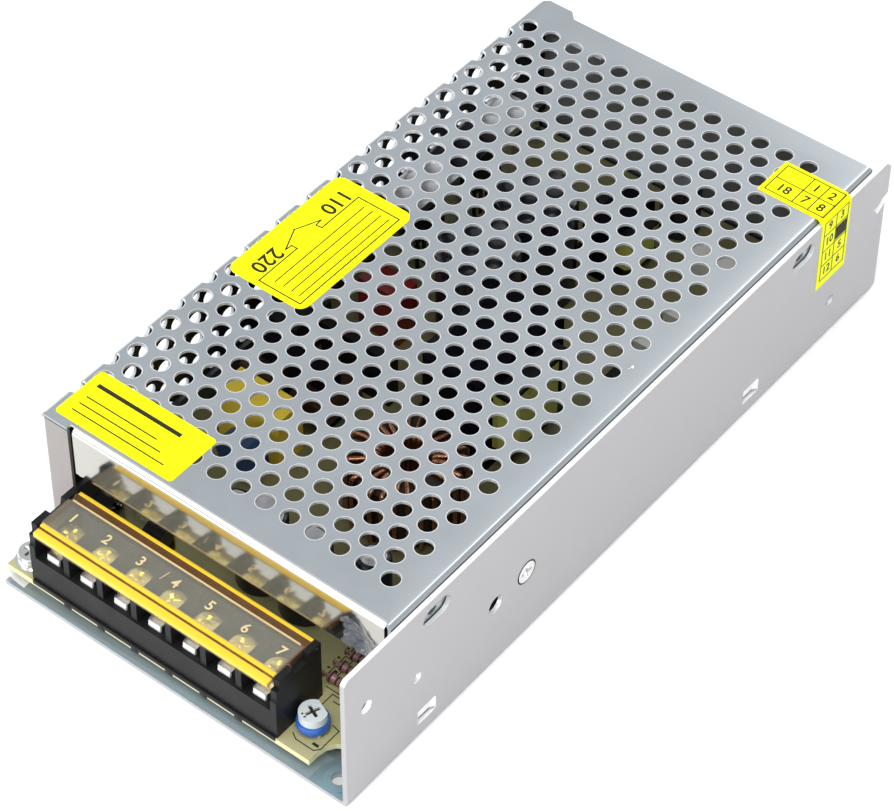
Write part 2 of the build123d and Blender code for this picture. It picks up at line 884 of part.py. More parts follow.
def standing_disc(place, size):
    """A round disc on edge across X, on two leads."""
    x, y = place
    diameter, thickness = size
    z = board_top + disc_lift + diameter / 2
    disc = rod_y(x, y - thickness / 2, y + thickness / 2, z, diameter, can_sides)
    for dx in (-diameter / 4, diameter / 4):
        disc += post(x + dx, y, board_top, z, lead, 4)
    return disc


def frame_core(place, size, leg):
    """A closed ferrite frame that stands along Y: two outer legs, a middle leg and two yokes."""
    x, y = place
    width, length, height = size
    y0, y1 = y - length / 2, y + length / 2
    core = slab(x - width / 2, x + width / 2, y0, y1, board_top, board_top + height)
    gap = (length - 4 * leg) / 2
    for low in (y0 + leg, y1 - leg - gap):
        core -= slab(x - width / 2, x + width / 2, low, low + gap, board_top + leg, board_top + height - leg)
    return core


def winding_block(place, size, core_size, leg, rim):
    """The winding round a core's middle leg, between the bobbin's rims, clear of the core."""
    x, y = place
    width, length = size
    core_width, _, height = core_size
    z0 = board_top + leg + rim
    z1 = board_top + height - leg - rim
    block = slab(x - width / 2, x + width / 2, y - length / 2, y + length / 2, z0, z1)
    block = chamfer(block.edges().filter_by(Axis.Z), length / 6)
    return block - slab(x - core_width / 2, x + core_width / 2, y - leg, y + leg, z0, z1)


def bobbin_rims(place, size, core_size, leg, rim):
    """The bobbin's two rims, over and under the winding."""
    x, y = place
    width, length = size
    core_width, _, height = core_size
    rims = []
    for z0 in (board_top + leg, board_top + height - leg - rim):
        plate = slab(x - width / 2, x + width / 2, y - length / 2, y + length / 2, z0, z0 + rim)
        rims.append(plate - slab(x - core_width / 2, x + core_width / 2, y - leg, y + leg, z0, z0 + rim))
    return rims


def line_choke_core():
    """Square ferrite ring of the line filter choke, standing on the board."""
    x, y = line_choke_place
    width, depth, height = line_choke_size
    ring = slab(x - width / 2, x + width / 2, y - depth / 6, y + depth / 6, board_top, board_top + height)
    inner = slab(
        x - width / 2 + choke_leg,
        x + width / 2 - choke_leg,
        y - depth / 6,
        y + depth / 6,
        board_top + choke_leg,
        board_top + height - choke_leg,
    )
    return ring - inner


def line_choke_windings():
    """The two windings on the ring's upright legs."""
    x, y = line_choke_place
    width, depth, height = line_choke_size
    z0, z1 = board_top + choke_leg + relief, board_top + height - choke_leg - relief
    coils = []
    for centre in (x - width / 2 + choke_leg / 2, x + width / 2 - choke_leg / 2):
        reach = choke_leg / 2 + choke_winding
        coil = slab(centre - reach, centre + reach, y - depth / 2, y + depth / 2, z0, z1)
        leg = slab(centre - choke_leg / 2, centre + choke_leg / 2, y - depth / 6, y + depth / 6, z0, z1)
        coils.append(coil - leg)
    return group(coils)


def primary_heatsink():
    """Aluminium plate behind the transistors, with a flange turned over them."""
    x = sink_place
    y0, y1 = sink_span
    top = board_top + sink_height
    outer = [(x, board_top), (x, top), (x + sink_flange, top)]
    face = x + sink_sheet
    inner = [(face, board_top), (face, top - sink_sheet), (x + sink_flange, top - sink_sheet)]
    return along_y(folded(outer, inner, sink_sheet), y0, y1)


def power_package(x0, x1, y, width, z0, z1, lead_pitch):
    """A transistor or rectifier body with three flat leads down to the board."""
    package = slab(x0, x1, y - width / 2, y + width / 2, z0, z1)
    middle = (x0 + x1) / 2
    half = lead / 2
    for place in (y - lead_pitch, y, y + lead_pitch):
        package += slab(middle - half, middle + half, place - half, place + half, board_top, z0)
    return package


def primary_transistors():
    """The transistors on the heatsink."""
    depth, width, height = transistor_size
    x0 = sink_place + sink_sheet
    low = board_top + sink_height - sink_sheet - height - 3 * relief
    return group(
        power_package(x0, x0 + depth, y, width, low, low + height, width / 4)
        for y in transistor_places
    )


def rectifier_faces():
    """The inner and outer X faces of the output rectifier."""
    outer = wall_inside - pad_thickness
    return outer - rectifier_size[0], outer


def output_rectifier():
    """Output rectifier, held flat to the right wall by its screw."""
    x0, x1 = rectifier_faces()
    y, z = rectifier_screw_place
    _, width, height = rectifier_size
    body = power_package(x0, x1, y, width, rectifier_top - height, rectifier_top, rectifier_lead_pitch)
    return body - rod_x(x0, x1, y, z, flat_shank + 2 * sheet_gap, small_sides)


def rectifier_pad():
    """Insulating pad between the rectifier and the wall."""
    _, x1 = rectifier_faces()
    y, z = rectifier_screw_place
    _, width, height = rectifier_size
    pad = slab(x1, wall_inside, y - width / 2, y + width / 2, rectifier_top - height, rectifier_top)
    return pad - rod_x(x1, wall_inside, y, z, flat_shank + 2 * sheet_gap, small_sides)


def rectifier_screw():
    """Countersunk screw through the right wall, the pad and the rectifier."""
    x0, _ = rectifier_faces()
    length = right - x0 + nut_height + rectifier_screw_spare
    return flush_screw(right, -1, *rectifier_screw_place, length, 0)


def rectifier_nut():
    """Six-sided nut on the rectifier's screw."""
    x0, _ = rectifier_faces()
    place = (x0 - nut_height, x0, *rectifier_screw_place)
    bore = flat_shank + 2 * screw_bore_gap
    return rod_x(*place, nut_width, 6) - rod_x(*place, bore, small_sides)


def output_choke_core():
    """Ring core of the output choke, lying flat."""
    low = board_top + choke_wire
    high = low + choke_core_height
    round_bore = choke_bore / math.cos(math.pi / ring_sides)
    ring = post(*choke_place, low, high, choke_outer, ring_sides)
    return ring - post(*choke_place, low, high, round_bore, ring_sides)


def output_choke_winding():
    """Turns of thick copper wire, each a square loop round the ring's section."""
    low = board_top + choke_wire
    middle = (choke_outer + choke_bore) / 4
    width = (choke_outer - choke_bore) / 2
    tall = choke_core_height
    loop = Rectangle(width + 2 * choke_wire, tall + 2 * choke_wire) - Rectangle(width + 2 * sheet_gap, tall)
    x, y = choke_place
    turns = []
    for turn in range(choke_turns):
        angle = 360 * choke_turn_share * turn / choke_turns
        piece = along_y(Pos(middle, low + tall / 2) * loop, -choke_wire / 2, choke_wire / 2)
        turns.append(Pos(x, y, 0) * Rot(0, 0, angle) * piece)
    return group(turns)


def control_chip():
    """Controller in a two-row package, with its pins."""
    x0, x1, y0, y1, height = chip_box
    low = board_top + chip_lift
    chip = slab(x0, x1, y0, y1, low, low + height)
    pitch = (x1 - x0) / chip_pins
    for pin in range(chip_pins):
        x = x0 + pitch * (pin + 0.5)
        for y in (y0 - chip_pin, y1):
            chip += slab(x - chip_pin / 2, x + chip_pin / 2, y, y + chip_pin, board_top, low + height / 2)
    return chip


def optocouplers():
    """Two small four-pin packages."""
    width, depth, height = coupler_size
    return group(on_board((x, x + width, y, y + depth, height)) for x, y in coupler_places)


def resistor(x, y):
    """A resistor lying along X, with its leads bent down to the board."""
    diameter, length = resistor_size
    z = board_top + diameter / 2
    reach = length / 2 + resistor_lead
    body = rod_x(x - length / 2, x + length / 2, y, z, diameter, 6)
    for end, out in ((-1, -reach), (1, reach)):
        near = x + end * length / 2
        far = x + out
        body += slab(min(near, far), max(near, far), y - lead / 2, y + lead / 2, z - lead / 2, z + lead / 2)
        body += slab(far - lead / 2, far + lead / 2, y - lead / 2, y + lead / 2, board_top, z + lead / 2)
    return body


def sticker_on_top(place):
    """A flat sticker on the cover."""
    return slab(*place, case_height, case_height + sticker)


def date_sticker():
    """A sticker on the top that turns down over the step onto the right wall."""
    x0, y0, y1, low = date_label
    points = [
        (x0, case_height),
        (cover_right, case_height),
        (right, right_wall_height + sheet_gap),
        (right, low),
        (right + sticker, low),
        (right + sticker, right_wall_height + 2 * sheet_gap),
        (cover_right + sticker, case_height + sticker),
        (x0, case_height + sticker),
    ]
    return along_y(outline(*points), y0, y1)


def capacitor(x, y, diameter, height):
    """An upright can on the board."""
    return post(x, y, board_top, board_top + height, diameter, can_sides)


def build():
    """Every piece by its name."""
    driver = (driver_place, driver_winding_size, driver_core_size, core_leg / 2, bobbin_rim)
    main = (transformer_place, transformer_winding_size, transformer_core_size, core_leg, bobbin_rim)
    return {
        "base_chassis": base_chassis(),
        "perforated_cover": perforated_cover(),
        "cover_side_screws": cover_side_screws(),
        "insulation_film": insulation_film(),
        "circuit_board": circuit_board(),
        "board_standoffs": board_standoffs(),
        "board_screws": board_screws(),
        "terminal_block_body": terminal_block_body(),
        "terminal_contacts": terminal_contacts(),
        "terminal_clamp_plates": terminal_clamp_plates(),
        "terminal_screws": terminal_screws(),
        "terminal_cover": terminal_cover(),
        "trimmer_body": trimmer_body(),
        "trimmer_rotor": trimmer_rotor(),
        "fuse_glass": fuse_glass(),
        "fuse_caps": fuse_caps(),
        "fuse_clips": fuse_clips(),
        "selector_switch_body": selector_switch_body(),
        "selector_slider": selector_slider(),
        "thermistor": standing_disc(thermistor_place, thermistor_size),
        "surge_disc": standing_disc(surge_disc_place, surge_disc_size),
        "line_capacitor": on_board(line_capacitor_box),
        "line_choke_core": line_choke_core(),
        "line_choke_windings": line_choke_windings(),
        "bridge_rectifier": on_board(bridge_box),
        "film_capacitor": on_board(film_capacitor_box),
        "bulk_capacitors": group(capacitor(x, y, bulk_diameter, bulk_height) for x, y in bulk_places),
        "primary_heatsink": primary_heatsink(),
        "primary_transistors": primary_transistors(),
        "transformer_core": frame_core(transformer_place, transformer_core_size, core_leg),
        "transformer_bobbin": group(bobbin_rims(*main)),
        "transformer_winding": winding_block(*main),
        "driver_core": frame_core(driver_place, driver_core_size, core_leg / 2),
        "driver_bobbin": group(bobbin_rims(*driver)),
        "driver_winding": winding_block(*driver),
        "output_rectifier": output_rectifier(),
        "rectifier_pad": rectifier_pad(),
        "rectifier_screw": rectifier_screw(),
        "rectifier_nut": rectifier_nut(),
        "output_choke_core": output_choke_core(),
        "output_choke_winding": output_choke_winding(),
        "output_capacitors": group(
            capacitor(x, y, output_capacitor_diameter, output_capacitor_height)
            for x, y in output_capacitor_places
        ),
        "small_capacitors": group(capacitor(*can) for can in small_capacitors),
        "control_chip": control_chip(),
        "optocouplers": optocouplers(),
        "front_resistors": group(resistor(x, y) for x, y in resistor_places),
        "cement_resistor": on_board(cement_box),
        "front_label": sticker_on_top(front_label),
        "selector_label": sticker_on_top(selector_label),
        "date_label": date_sticker(),
    }


os.makedirs("parts", exist_ok=True)
for name, shape in build().items():
    export_step(shape, f"parts/{name}.step")
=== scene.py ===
"""Looks of the enclosed power supply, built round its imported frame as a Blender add-on."""

import json
import random
from functools import cache, partial
from math import atan2, cos, hypot, pi, radians, sin

import bmesh
import bpy
from mathutils import Matrix, Vector

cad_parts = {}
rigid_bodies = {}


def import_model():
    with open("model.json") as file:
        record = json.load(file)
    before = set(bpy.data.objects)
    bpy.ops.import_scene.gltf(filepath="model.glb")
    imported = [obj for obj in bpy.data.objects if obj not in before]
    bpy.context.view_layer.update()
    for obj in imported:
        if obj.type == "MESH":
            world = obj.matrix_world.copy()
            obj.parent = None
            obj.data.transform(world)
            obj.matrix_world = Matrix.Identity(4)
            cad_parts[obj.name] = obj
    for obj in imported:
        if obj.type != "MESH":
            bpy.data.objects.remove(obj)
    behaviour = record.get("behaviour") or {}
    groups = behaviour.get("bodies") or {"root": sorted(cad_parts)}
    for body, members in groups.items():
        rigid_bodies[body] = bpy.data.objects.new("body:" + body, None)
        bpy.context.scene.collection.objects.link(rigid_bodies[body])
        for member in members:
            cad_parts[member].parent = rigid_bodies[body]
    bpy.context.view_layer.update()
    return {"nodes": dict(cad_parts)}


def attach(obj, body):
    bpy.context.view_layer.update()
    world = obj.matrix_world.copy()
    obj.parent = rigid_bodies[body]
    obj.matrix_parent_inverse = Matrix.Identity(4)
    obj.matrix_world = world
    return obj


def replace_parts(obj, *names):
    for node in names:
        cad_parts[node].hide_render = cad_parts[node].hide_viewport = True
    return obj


bl_info = {
    "name": "Enclosed power supply",
    "version": (1, 0, 0),
    "blender": (4, 5, 0),
    "location": "3D View > Sidebar > Power supply",
    "description": "Perforated cover, labels, terminals, inner parts and stage of a power supply",
    "category": "Object",
}

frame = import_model()
NODES = frame["nodes"]
MM = 0.001

# Sizes of the sheet pieces and the board, in millimetres
LEFT, TOP, SHEET, BEND = -49.0, 42.0, 0.8, 1.4
COVER_FRONT, COVER_BACK, COVER_TAB, COVER_RIGHT = -83.4, 92.8, 94.9, 47.6
INNER_LEFT, INNER_RIGHT, INNER_FRONT, INNER_BACK, INNER_TOP = -48.25, 46.85, -82.65, 94.15, 41.25
FOLD_RUN = (BEND - SHEET / 2) * pi / 2
WALL_END = LEFT + BEND - FOLD_RUN - (TOP - BEND)
FLANGE_END = COVER_RIGHT - BEND + FOLD_RUN + 10.6
BOARD_TOP = 6.3
LABEL_TOP, LABEL_SIDE = 42.16, 49.16
FIRST_COLUMN, FIRST_ROW, SIDE_COLUMNS, RIM = -45.12, 84.07, 5, 0.16
WALL_TOP, LIP_LOW, LIP_LEFT, CORNER_REACH = 40.8, 28.5, -39.9, 7.7
SIDE_SCREW_HEIGHT, SIDE_SCREW_HOLE, FLANGE_HOLE = 10.2, 3.1, 1.6


# Materials


def add(tree, kind, feeds=None, **settings):
    """A node, its settings, and what feeds its inputs."""
    made = tree.nodes.new(kind)
    made.location = (180 * len(tree.nodes), 0)
    for key, value in settings.items():
        setattr(made, key, value)
    for key, value in (feeds or {}).items():
        if isinstance(value, bpy.types.NodeSocket):
            tree.links.new(value, made.inputs[key])
        else:
            made.inputs[key].default_value = value
    return made


def sums(tree, operation, a, b=0.0):
    """The result of one sum."""
    return add(tree, "ShaderNodeMath", {0: a, 1: b}, operation=operation).outputs[0]


def box_mask(tree, where, low, high):
    """1 at the points, in millimetres, between two corners; None leaves a side open."""
    split = add(tree, "ShaderNodeSeparateXYZ", {0: where.outputs["Object"]})
    mask = 1.0
    for corner, test in ((low, "GREATER_THAN"), (high, "LESS_THAN")):
        for axis, limit in enumerate(corner):
            if limit is not None:
                step = sums(tree, test, split.outputs[axis], limit * MM)
                mask = sums(tree, "MULTIPLY", step, mask)
    return mask


def mixed(tree, mask, below, shade):
    """One colour laid over another where the mask is 1."""
    feeds = {0: mask, 6: below, 7: (*shade, 1)}
    return add(tree, "ShaderNodeMix", feeds, data_type="RGBA").outputs[2]


def finish(
    name, colour, rough, metal=0.0, grain=0.0, scale=40.0, bump=0.0, streak=(1, 1, 1), zones=(), **extra
):
    """A surface with a little unevenness in tone, gloss and height, from object coordinates."""
    material = bpy.data.materials.get(name)
    if material:
        return material
    material = bpy.data.materials.new(name)
    material.use_nodes = True
    tree = material.node_tree
    tree.nodes.clear()
    where = add(tree, "ShaderNodeTexCoord")
    mapping = add(tree, "ShaderNodeMapping", {"Vector": where.outputs["Object"], "Scale": streak})
    spots = {"Vector": mapping.outputs["Vector"], "Scale": scale, "Detail": 4.0, "Roughness": 0.6}
    noise = add(tree, "ShaderNodeTexNoise", spots).outputs["Fac"]
    shades = {"Value": noise, "To Min": 1.0 - grain, "To Max": 1.0 + grain}
    tone = add(tree, "ShaderNodeMapRange", shades).outputs["Result"]
    tint = add(tree, "ShaderNodeVectorMath", {0: colour, "Scale": tone}, operation="SCALE")
    coat = tint.outputs["Vector"]
    for low, high, shade in zones:
        coat = mixed(tree, box_mask(tree, where, low, high), coat, shade)
    low_gloss, high_gloss = max(0.02, rough - 0.3 * rough), min(1.0, rough + 0.3 * rough)
    gloss = add(tree, "ShaderNodeMapRange", {"Value": noise, "To Min": low_gloss, "To Max": high_gloss})
    feeds = {"Base Color": coat, "Metallic": metal, "Roughness": gloss.outputs["Result"]}
    feeds |= {key.replace("_", " "): value for key, value in extra.items()}
    if bump:
        relief = {"Strength": bump, "Distance": 0.0002, "Height": noise}
        feeds["Normal"] = add(tree, "ShaderNodeBump", relief).outputs["Normal"]
    shader = add(tree, "ShaderNodeBsdfPrincipled", feeds)
    add(tree, "ShaderNodeOutputMaterial", {"Surface": shader.outputs["BSDF"]})
    return material


def punched_rims(material, settings):
    """Paints a highlight round the rim of every hole of the top's staggered grid, on the top face."""
    tree = material.node_tree
    sum_of = partial(sums, tree)
    shader = next(n for n in tree.nodes if n.type == "BSDF_PRINCIPLED")
    before = shader.inputs["Base Color"].links[0].from_socket
    where = next(n for n in tree.nodes if n.type == "TEX_COORD")
    split = add(tree, "ShaderNodeSeparateXYZ", {0: where.outputs["Object"]})
    rows = sum_of("DIVIDE", sum_of("SUBTRACT", FIRST_ROW * MM, split.outputs[1]), settings.row_pitch)
    row = sum_of("ROUND", rows)
    off_y = sum_of("MULTIPLY", sum_of("SUBTRACT", rows, row), settings.row_pitch)
    stagger = sum_of("MULTIPLY", sum_of("FLOORED_MODULO", row, 2.0), 0.5)
    along = sum_of("SUBTRACT", split.outputs[0], FIRST_COLUMN * MM)
    columns = sum_of("SUBTRACT", sum_of("DIVIDE", along, settings.column_pitch), stagger)
    column = sum_of("ROUND", columns)
    off_x = sum_of("MULTIPLY", sum_of("SUBTRACT", columns, column), settings.column_pitch)
    square = sum_of("ADD", sum_of("MULTIPLY", off_x, off_x), sum_of("MULTIPLY", off_y, off_y))
    near = sum_of("LESS_THAN", sum_of("SQRT", square), settings.hole / 2 + RIM * MM)
    kept = sum_of("GREATER_THAN", split.outputs[2], (TOP - 0.05) * MM)
    for value, limit in ((column, settings.columns - SIDE_COLUMNS - 0.5), (row, settings.rows - 0.5)):
        kept = sum_of("MULTIPLY", kept, sum_of("LESS_THAN", value, limit))
    kept = sum_of("MULTIPLY", kept, sum_of("GREATER_THAN", row, -0.5))
    # Painted highlight: near white on the top face within a rim's width of each hole.
    rims = mixed(tree, sum_of("MULTIPLY", near, kept), before, (0.8, 0.82, 0.84))
    tree.links.new(rims, shader.inputs["Base Color"])
    return material


def steel_lip():
    """Polished steel with a painted highlight along its fold."""
    # Painted highlight: near white on the fold at the top of the lip.
    fold = ((None, None, TOP - BEND + 0.2), (None, None, None), (0.98, 0.98, 0.98))
    shade = (0.52, 0.51, 0.47)
    return finish("lip steel", shade, 0.1, 1.0, grain=0.05, scale=30, bump=0.12, zones=[fold])


def steel_cover():
    """Grey plated steel with painted shade on its inner faces, a painted highlight on the walls of the
    holes, and darker, warmer painted shade on the front left corner flange.
    """
    # Painted shade: near black on the inner faces.
    inner = ((INNER_LEFT, INNER_FRONT, None), (INNER_RIGHT, INNER_BACK, INNER_TOP))
    # Painted highlight: near white on the walls of the holes, through the sheet.
    rims = ((INNER_LEFT, INNER_FRONT, INNER_TOP), (INNER_RIGHT, INNER_BACK, TOP - 0.1))
    # Painted shade: darker and warmer on the front left corner flange.
    corner = ((None, None, None), (-41.0, COVER_FRONT + SHEET, TOP - BEND))
    zones = [(*inner, (0.03, 0.032, 0.034)), (*rims, (0.95, 0.96, 0.97)), (*corner, (0.34, 0.31, 0.3))]
    grey = (0.375, 0.405, 0.425)
    return finish("cover steel", grey, 0.42, 0.75, grain=0.05, scale=60, bump=0.05, zones=zones)


def steel_base():
    """Pale plated steel, bluish on the floor, with painted shade on the inner sides, lighter painted
    shade on the rear wall's inner face, and a painted highlight along the right wall's edges.
    """
    # Painted shade: near black on the inner sides.
    inner = ((-48.9, -83.0, 1.1), (47.85, 92.85, 40.6))
    floor = ((-47.8, None, 1.1), (47.7, 92.0, 3.5))
    # Painted highlight: near white along the edges of the right wall.
    rims = ((47.86, -99.4, 3.0), (48.92, 99.4, 41.5))
    # Lighter painted shade on the inner face of the rear wall.
    rear = ((-48.9, 88.0, 3.5), (47.85, 92.85, 40.6))
    zones = [(*inner, (0.07, 0.075, 0.08)), (*rear, (0.3, 0.31, 0.31))]
    zones += [(*floor, (0.22, 0.33, 0.38)), (*rims, (0.9, 0.9, 0.9))]
    grey = (0.45, 0.44, 0.45)
    return finish("base steel", grey, 0.5, 0.55, grain=0.05, scale=50, bump=0.05, zones=zones)


def bright_steel():
    return finish("bright steel", (0.75, 0.75, 0.74), 0.22, 1.0, grain=0.08, scale=200)


def brass():
    return finish("plated brass", (0.86, 0.74, 0.38), 0.25, 1.0, grain=0.08, scale=200)


def aluminium():
    """Bright where the heatsink's flange shows, dull under the parts that shade it."""
    stretches = ((16, 22), (37, 53), (67, 72))
    shaded = [((None, low, 20.0), (-28.0, high, None), (0.03, 0.03, 0.035)) for low, high in stretches]
    return finish("bright aluminium", (0.8, 0.81, 0.82), 0.3, 1.0, grain=0.06, scale=80, zones=shaded)


def black_plastic():
    shade = (0.007, 0.007, 0.008)
    return finish("black plastic", shade, 0.45, grain=0.1, scale=120, Specular_IOR_Level=0.2)


def black_sleeve():
    return finish("black sleeve", (0.012, 0.013, 0.017), 0.2, grain=0.1, scale=60)


def clear_lid():
    """Clear plastic, a little amber, seen through."""
    return finish("clear lid", (0.34, 0.33, 0.27), 0.05, grain=0.1, scale=30, bump=0.1, Alpha=0.24)


def amber():
    return finish("amber plastic", (0.75, 0.5, 0.025), 0.25, grain=0.12, scale=300, streak=(0.1, 1, 1))


def brown_amber():
    shade = (0.14, 0.06, 0.02)
    return finish("brown amber", shade, 0.2, grain=0.2, scale=200, streak=(0.1, 1, 1), Alpha=0.7)


def pale_amber():
    return finish("pale amber", (0.8, 0.64, 0.34), 0.2, grain=0.1, scale=100, Alpha=0.6)


def label_yellow():
    return finish("label yellow", (0.84, 0.88, 0.004), 0.5, grain=0.01, scale=30, Specular_IOR_Level=0.1)


# Black print, also laid as painted shade in the gap round the wall screw and in the knob's recess.
def ink():
    return finish("black print and painted shade", (0.02, 0.018, 0.01), 0.6, grain=0.05, scale=80, Specular_IOR_Level=0.2)


def clear_film():
    return finish("clear film", (0.6, 0.66, 0.68), 0.08, grain=0.03, scale=25, bump=0.3, Alpha=0.22)


def laminate():
    """Olive board with cream cut edges, and painted shade where it lies deep under the cover."""
    edge = ((None, None, None), (None, None, BOARD_TOP - 0.03))
    front = ((None, None, None), (None, -93.0, None))
    # Painted shade: darker olive on the board deep under the cover.
    under = ((None, -68.0, None), (None, None, None))
    zones = [(*under, (0.17, 0.16, 0.07)), (*front, (0.35, 0.33, 0.17)), (*edge, (0.6, 0.57, 0.33))]
    olive = (0.4, 0.38, 0.18)
    return finish("board laminate", olive, 0.45, grain=0.12, scale=300, bump=0.05, zones=zones)


def ferrite():
    """Dull and near black; the name has to differ from the frame's own ferrite."""
    shade = (0.007, 0.007, 0.01)
    return finish("dark ferrite", shade, 0.9, grain=0.2, scale=300, Specular_IOR_Level=0.0)


def copper():
    return finish("enamelled copper", (0.42, 0.2, 0.11), 0.22, 0.9, grain=0.25, scale=200)


def yellow_tape():
    return finish("yellow tape", (0.6, 0.62, 0.14), 0.3, grain=0.05, scale=60)


def plain(name, colour, rough=0.4, **extra):
    return finish(name, colour, rough, grain=0.06, scale=150, bump=0.05, **extra)


def placed(name, data):
    """A new object in the scene."""
    made = bpy.data.objects.new(name, data)
    bpy.context.scene.collection.objects.link(made)
    return made


def baked(carrier):
    """The plain mesh of an object, which is taken away again."""
    bpy.context.view_layer.update()
    graph = bpy.context.evaluated_depsgraph_get()
    made = bpy.data.meshes.new_from_object(carrier.evaluated_get(graph))
    bpy.data.objects.remove(carrier)
    return made


def paint(material, *names):
    """Gives frame nodes their material."""
    for name in names:
        data = NODES[name].data
        data.materials.clear()
        data.materials.append(material)


# Mesh helpers, in millimetres


def piece(name, bm, material, body="supply", slot=None, smooth=30.0):
    """A finished mesh object that rides on a body of the frame."""
    return shown(name, in_metres(name, bm), material, body, slot, smooth)


def in_metres(name, bm):
    """A mesh in metres from a bmesh in millimetres."""
    data = bpy.data.meshes.new(name)
    bmesh.ops.scale(bm, vec=(MM, MM, MM), verts=bm.verts)
    bmesh.ops.recalc_face_normals(bm, faces=bm.faces)
    bm.to_mesh(data)
    bm.free()
    return data


def shown(name, data, material, body="supply", slot=None, smooth=30.0):
    """An object for a mesh that is already in metres."""
    data.materials.clear()
    data.materials.append(material)
    data.name = name
    for polygon in data.polygons:
        polygon.use_smooth = True
        polygon.material_index = 0
    data.set_sharp_from_angle(angle=radians(smooth))
    made = placed(name, data)
    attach(made, body)
    return made


def block(bm, low, high, bevel=0.0):
    """A box between two corners, with its edges bevelled."""
    size = [h - l for l, h in zip(low, high)]
    middle = [(h + l) / 2 for l, h in zip(low, high)]
    place = Matrix.Translation(middle) @ Matrix.Diagonal((*size, 1))
    made = bmesh.ops.create_cube(bm, size=1.0, matrix=place)["verts"]
    if bevel:
        edges = list({e for v in made for e in v.link_edges})
        bmesh.ops.bevel(bm, geom=edges, offset=bevel, segments=2, affect="EDGES", profile=0.5)


def joined(bm, rings):
    """Faces between each ring of points and the next."""
    for near, far in zip(rings, rings[1:]):
        count = len(near)
        for i in range(count):
            bm.faces.new((near[i], near[(i + 1) % count], far[(i + 1) % count], far[i]))


def turned(bm, profile, place=(0, 0, 0), axis="Z", steps=32):
    """A solid of revolution from (radius, height) pairs about X or Z through a place."""
    rings = []
    for radius, height in profile:
        ring = []
        for flat in ring_loop(0, 0, radius, steps):
            offset = (height, *flat) if axis == "X" else (*flat, height)
            ring.append(bm.verts.new([p + o for p, o in zip(place, offset)]))
        rings.append(ring)
    joined(bm, rings)
    bm.faces.new(rings[0])
    bm.faces.new(rings[-1])


def swept(bm, section, low, high, axis):
    """A closed 2-D section drawn along X or Z."""
    near, far = [
        [bm.verts.new((end, u, v) if axis == "X" else (u, v, end)) for u, v in section]
        for end in (low, high)
    ]
    joined(bm, [near, far])
    bm.faces.new(near)
    bm.faces.new(far)


def rounded(low_x, high_x, low_y, high_y, radius, steps=6):
    """Outline of a rectangle with round corners."""
    loop = []
    corners = ((high_x, high_y, 0), (low_x, high_y, 1), (low_x, low_y, 2), (high_x, low_y, 3))
    for x, y, quarter in corners:
        mid_x = x - radius if x == high_x else x + radius
        mid_y = y - radius if y == high_y else y + radius
        for step in range(steps + 1):
            angle = pi / 2 * (quarter + step / steps)
            loop.append((mid_x + radius * cos(angle), mid_y + radius * sin(angle)))
    return loop


def plate(bm, loops, low, high):
    """A flat plate between two heights, from an outline and the loops cut out of it."""
    made = bmesh.new()
    edges = []
    for loop in loops:
        ring = [made.verts.new((x, y, low)) for x, y in loop]
        edges += [made.edges.new(pair) for pair in zip(ring, ring[1:] + ring[:1])]
    bmesh.ops.triangle_fill(made, use_beauty=True, use_dissolve=False, edges=edges)
    lifted = bmesh.ops.extrude_face_region(made, geom=made.faces[:])["geom"]
    raised = [v for v in lifted if isinstance(v, bmesh.types.BMVert)]
    bmesh.ops.translate(made, vec=(0, 0, high - low), verts=raised)
    add_mesh(bm, made)


def add_mesh(bm, made):
    """Moves the geometry of one bmesh into another."""
    data = bpy.data.meshes.new("part")
    made.to_mesh(data)
    made.free()
    bm.from_mesh(data)
    bpy.data.meshes.remove(data)


def line(bm, points, width, height, side=False, closed=False):
    """A printed line: thin bars on the top face, or on the right wall when side is set."""
    ends = points[1:] + points[:1] if closed else points[1:]
    for (a, b), (c, d) in zip(points, ends):
        run = hypot(c - a, d - b)
        if run < 1e-6:
            continue
        made = bmesh.new()
        bmesh.ops.create_cube(made, size=1.0, matrix=Matrix.Diagonal((run + width, width, 0.02, 1)))
        turn = Matrix.Rotation(atan2(d - b, c - a), 4, "Z")
        flat = Matrix.Translation(((a + c) / 2, (b + d) / 2, 0)) @ turn
        made.transform(onto(height, side) @ flat)
        add_mesh(bm, made)


def onto(height, side):
    """Places a flat drawing on the top face at a height, or on the right wall with its top up."""
    if side:
        return Matrix(((0, 0, 1, height), (1, 0, 0, 0), (0, 1, 0, 0), (0, 0, 0, 1)))
    return Matrix.Translation((0, 0, height))


def figures(bm, words, x, y, size, height, turn=0.0, side=False):
    """Plain numbers printed flat on the top face or on the right wall."""
    curve = bpy.data.curves.new("figures", "FONT")
    curve.body = words
    curve.size = size
    curve.align_x = "CENTER"
    curve.align_y = "CENTER"
    curve.resolution_u = 3
    curve.extrude = 0.01
    curve.offset = 0.018 * size
    data = baked(placed("figures", curve))
    flat = Matrix.Translation((x, y, 0)) @ Matrix.Rotation(radians(turn), 4, "Z")
    data.transform(onto(height, side) @ flat)
    bm.from_mesh(data)


def tube(bm, path, radius, sides=8):
    """A round wire along a closed path that lies in the XZ plane."""
    rings = []
    count = len(path)
    for i, point in enumerate(path):
        before, after = Vector(path[i - 1]), Vector(path[(i + 1) % count])
        along = (after - before).normalized()
        across = along.cross(Vector((0, 1, 0)))
        ring = []
        for step in range(sides):
            angle = 2 * pi * step / sides
            shift = across * cos(angle) + Vector((0, 1, 0)) * sin(angle)
            ring.append(bm.verts.new(Vector(point) + shift * radius))
        rings.append(ring)
    joined(bm, rings + rings[:1])


def ring_loop(x, y, radius, steps=24):
    """Outline of a circle."""
    angles = [2 * pi * i / steps for i in range(steps)]
    return [(x + radius * cos(a), y + radius * sin(a)) for a in angles]


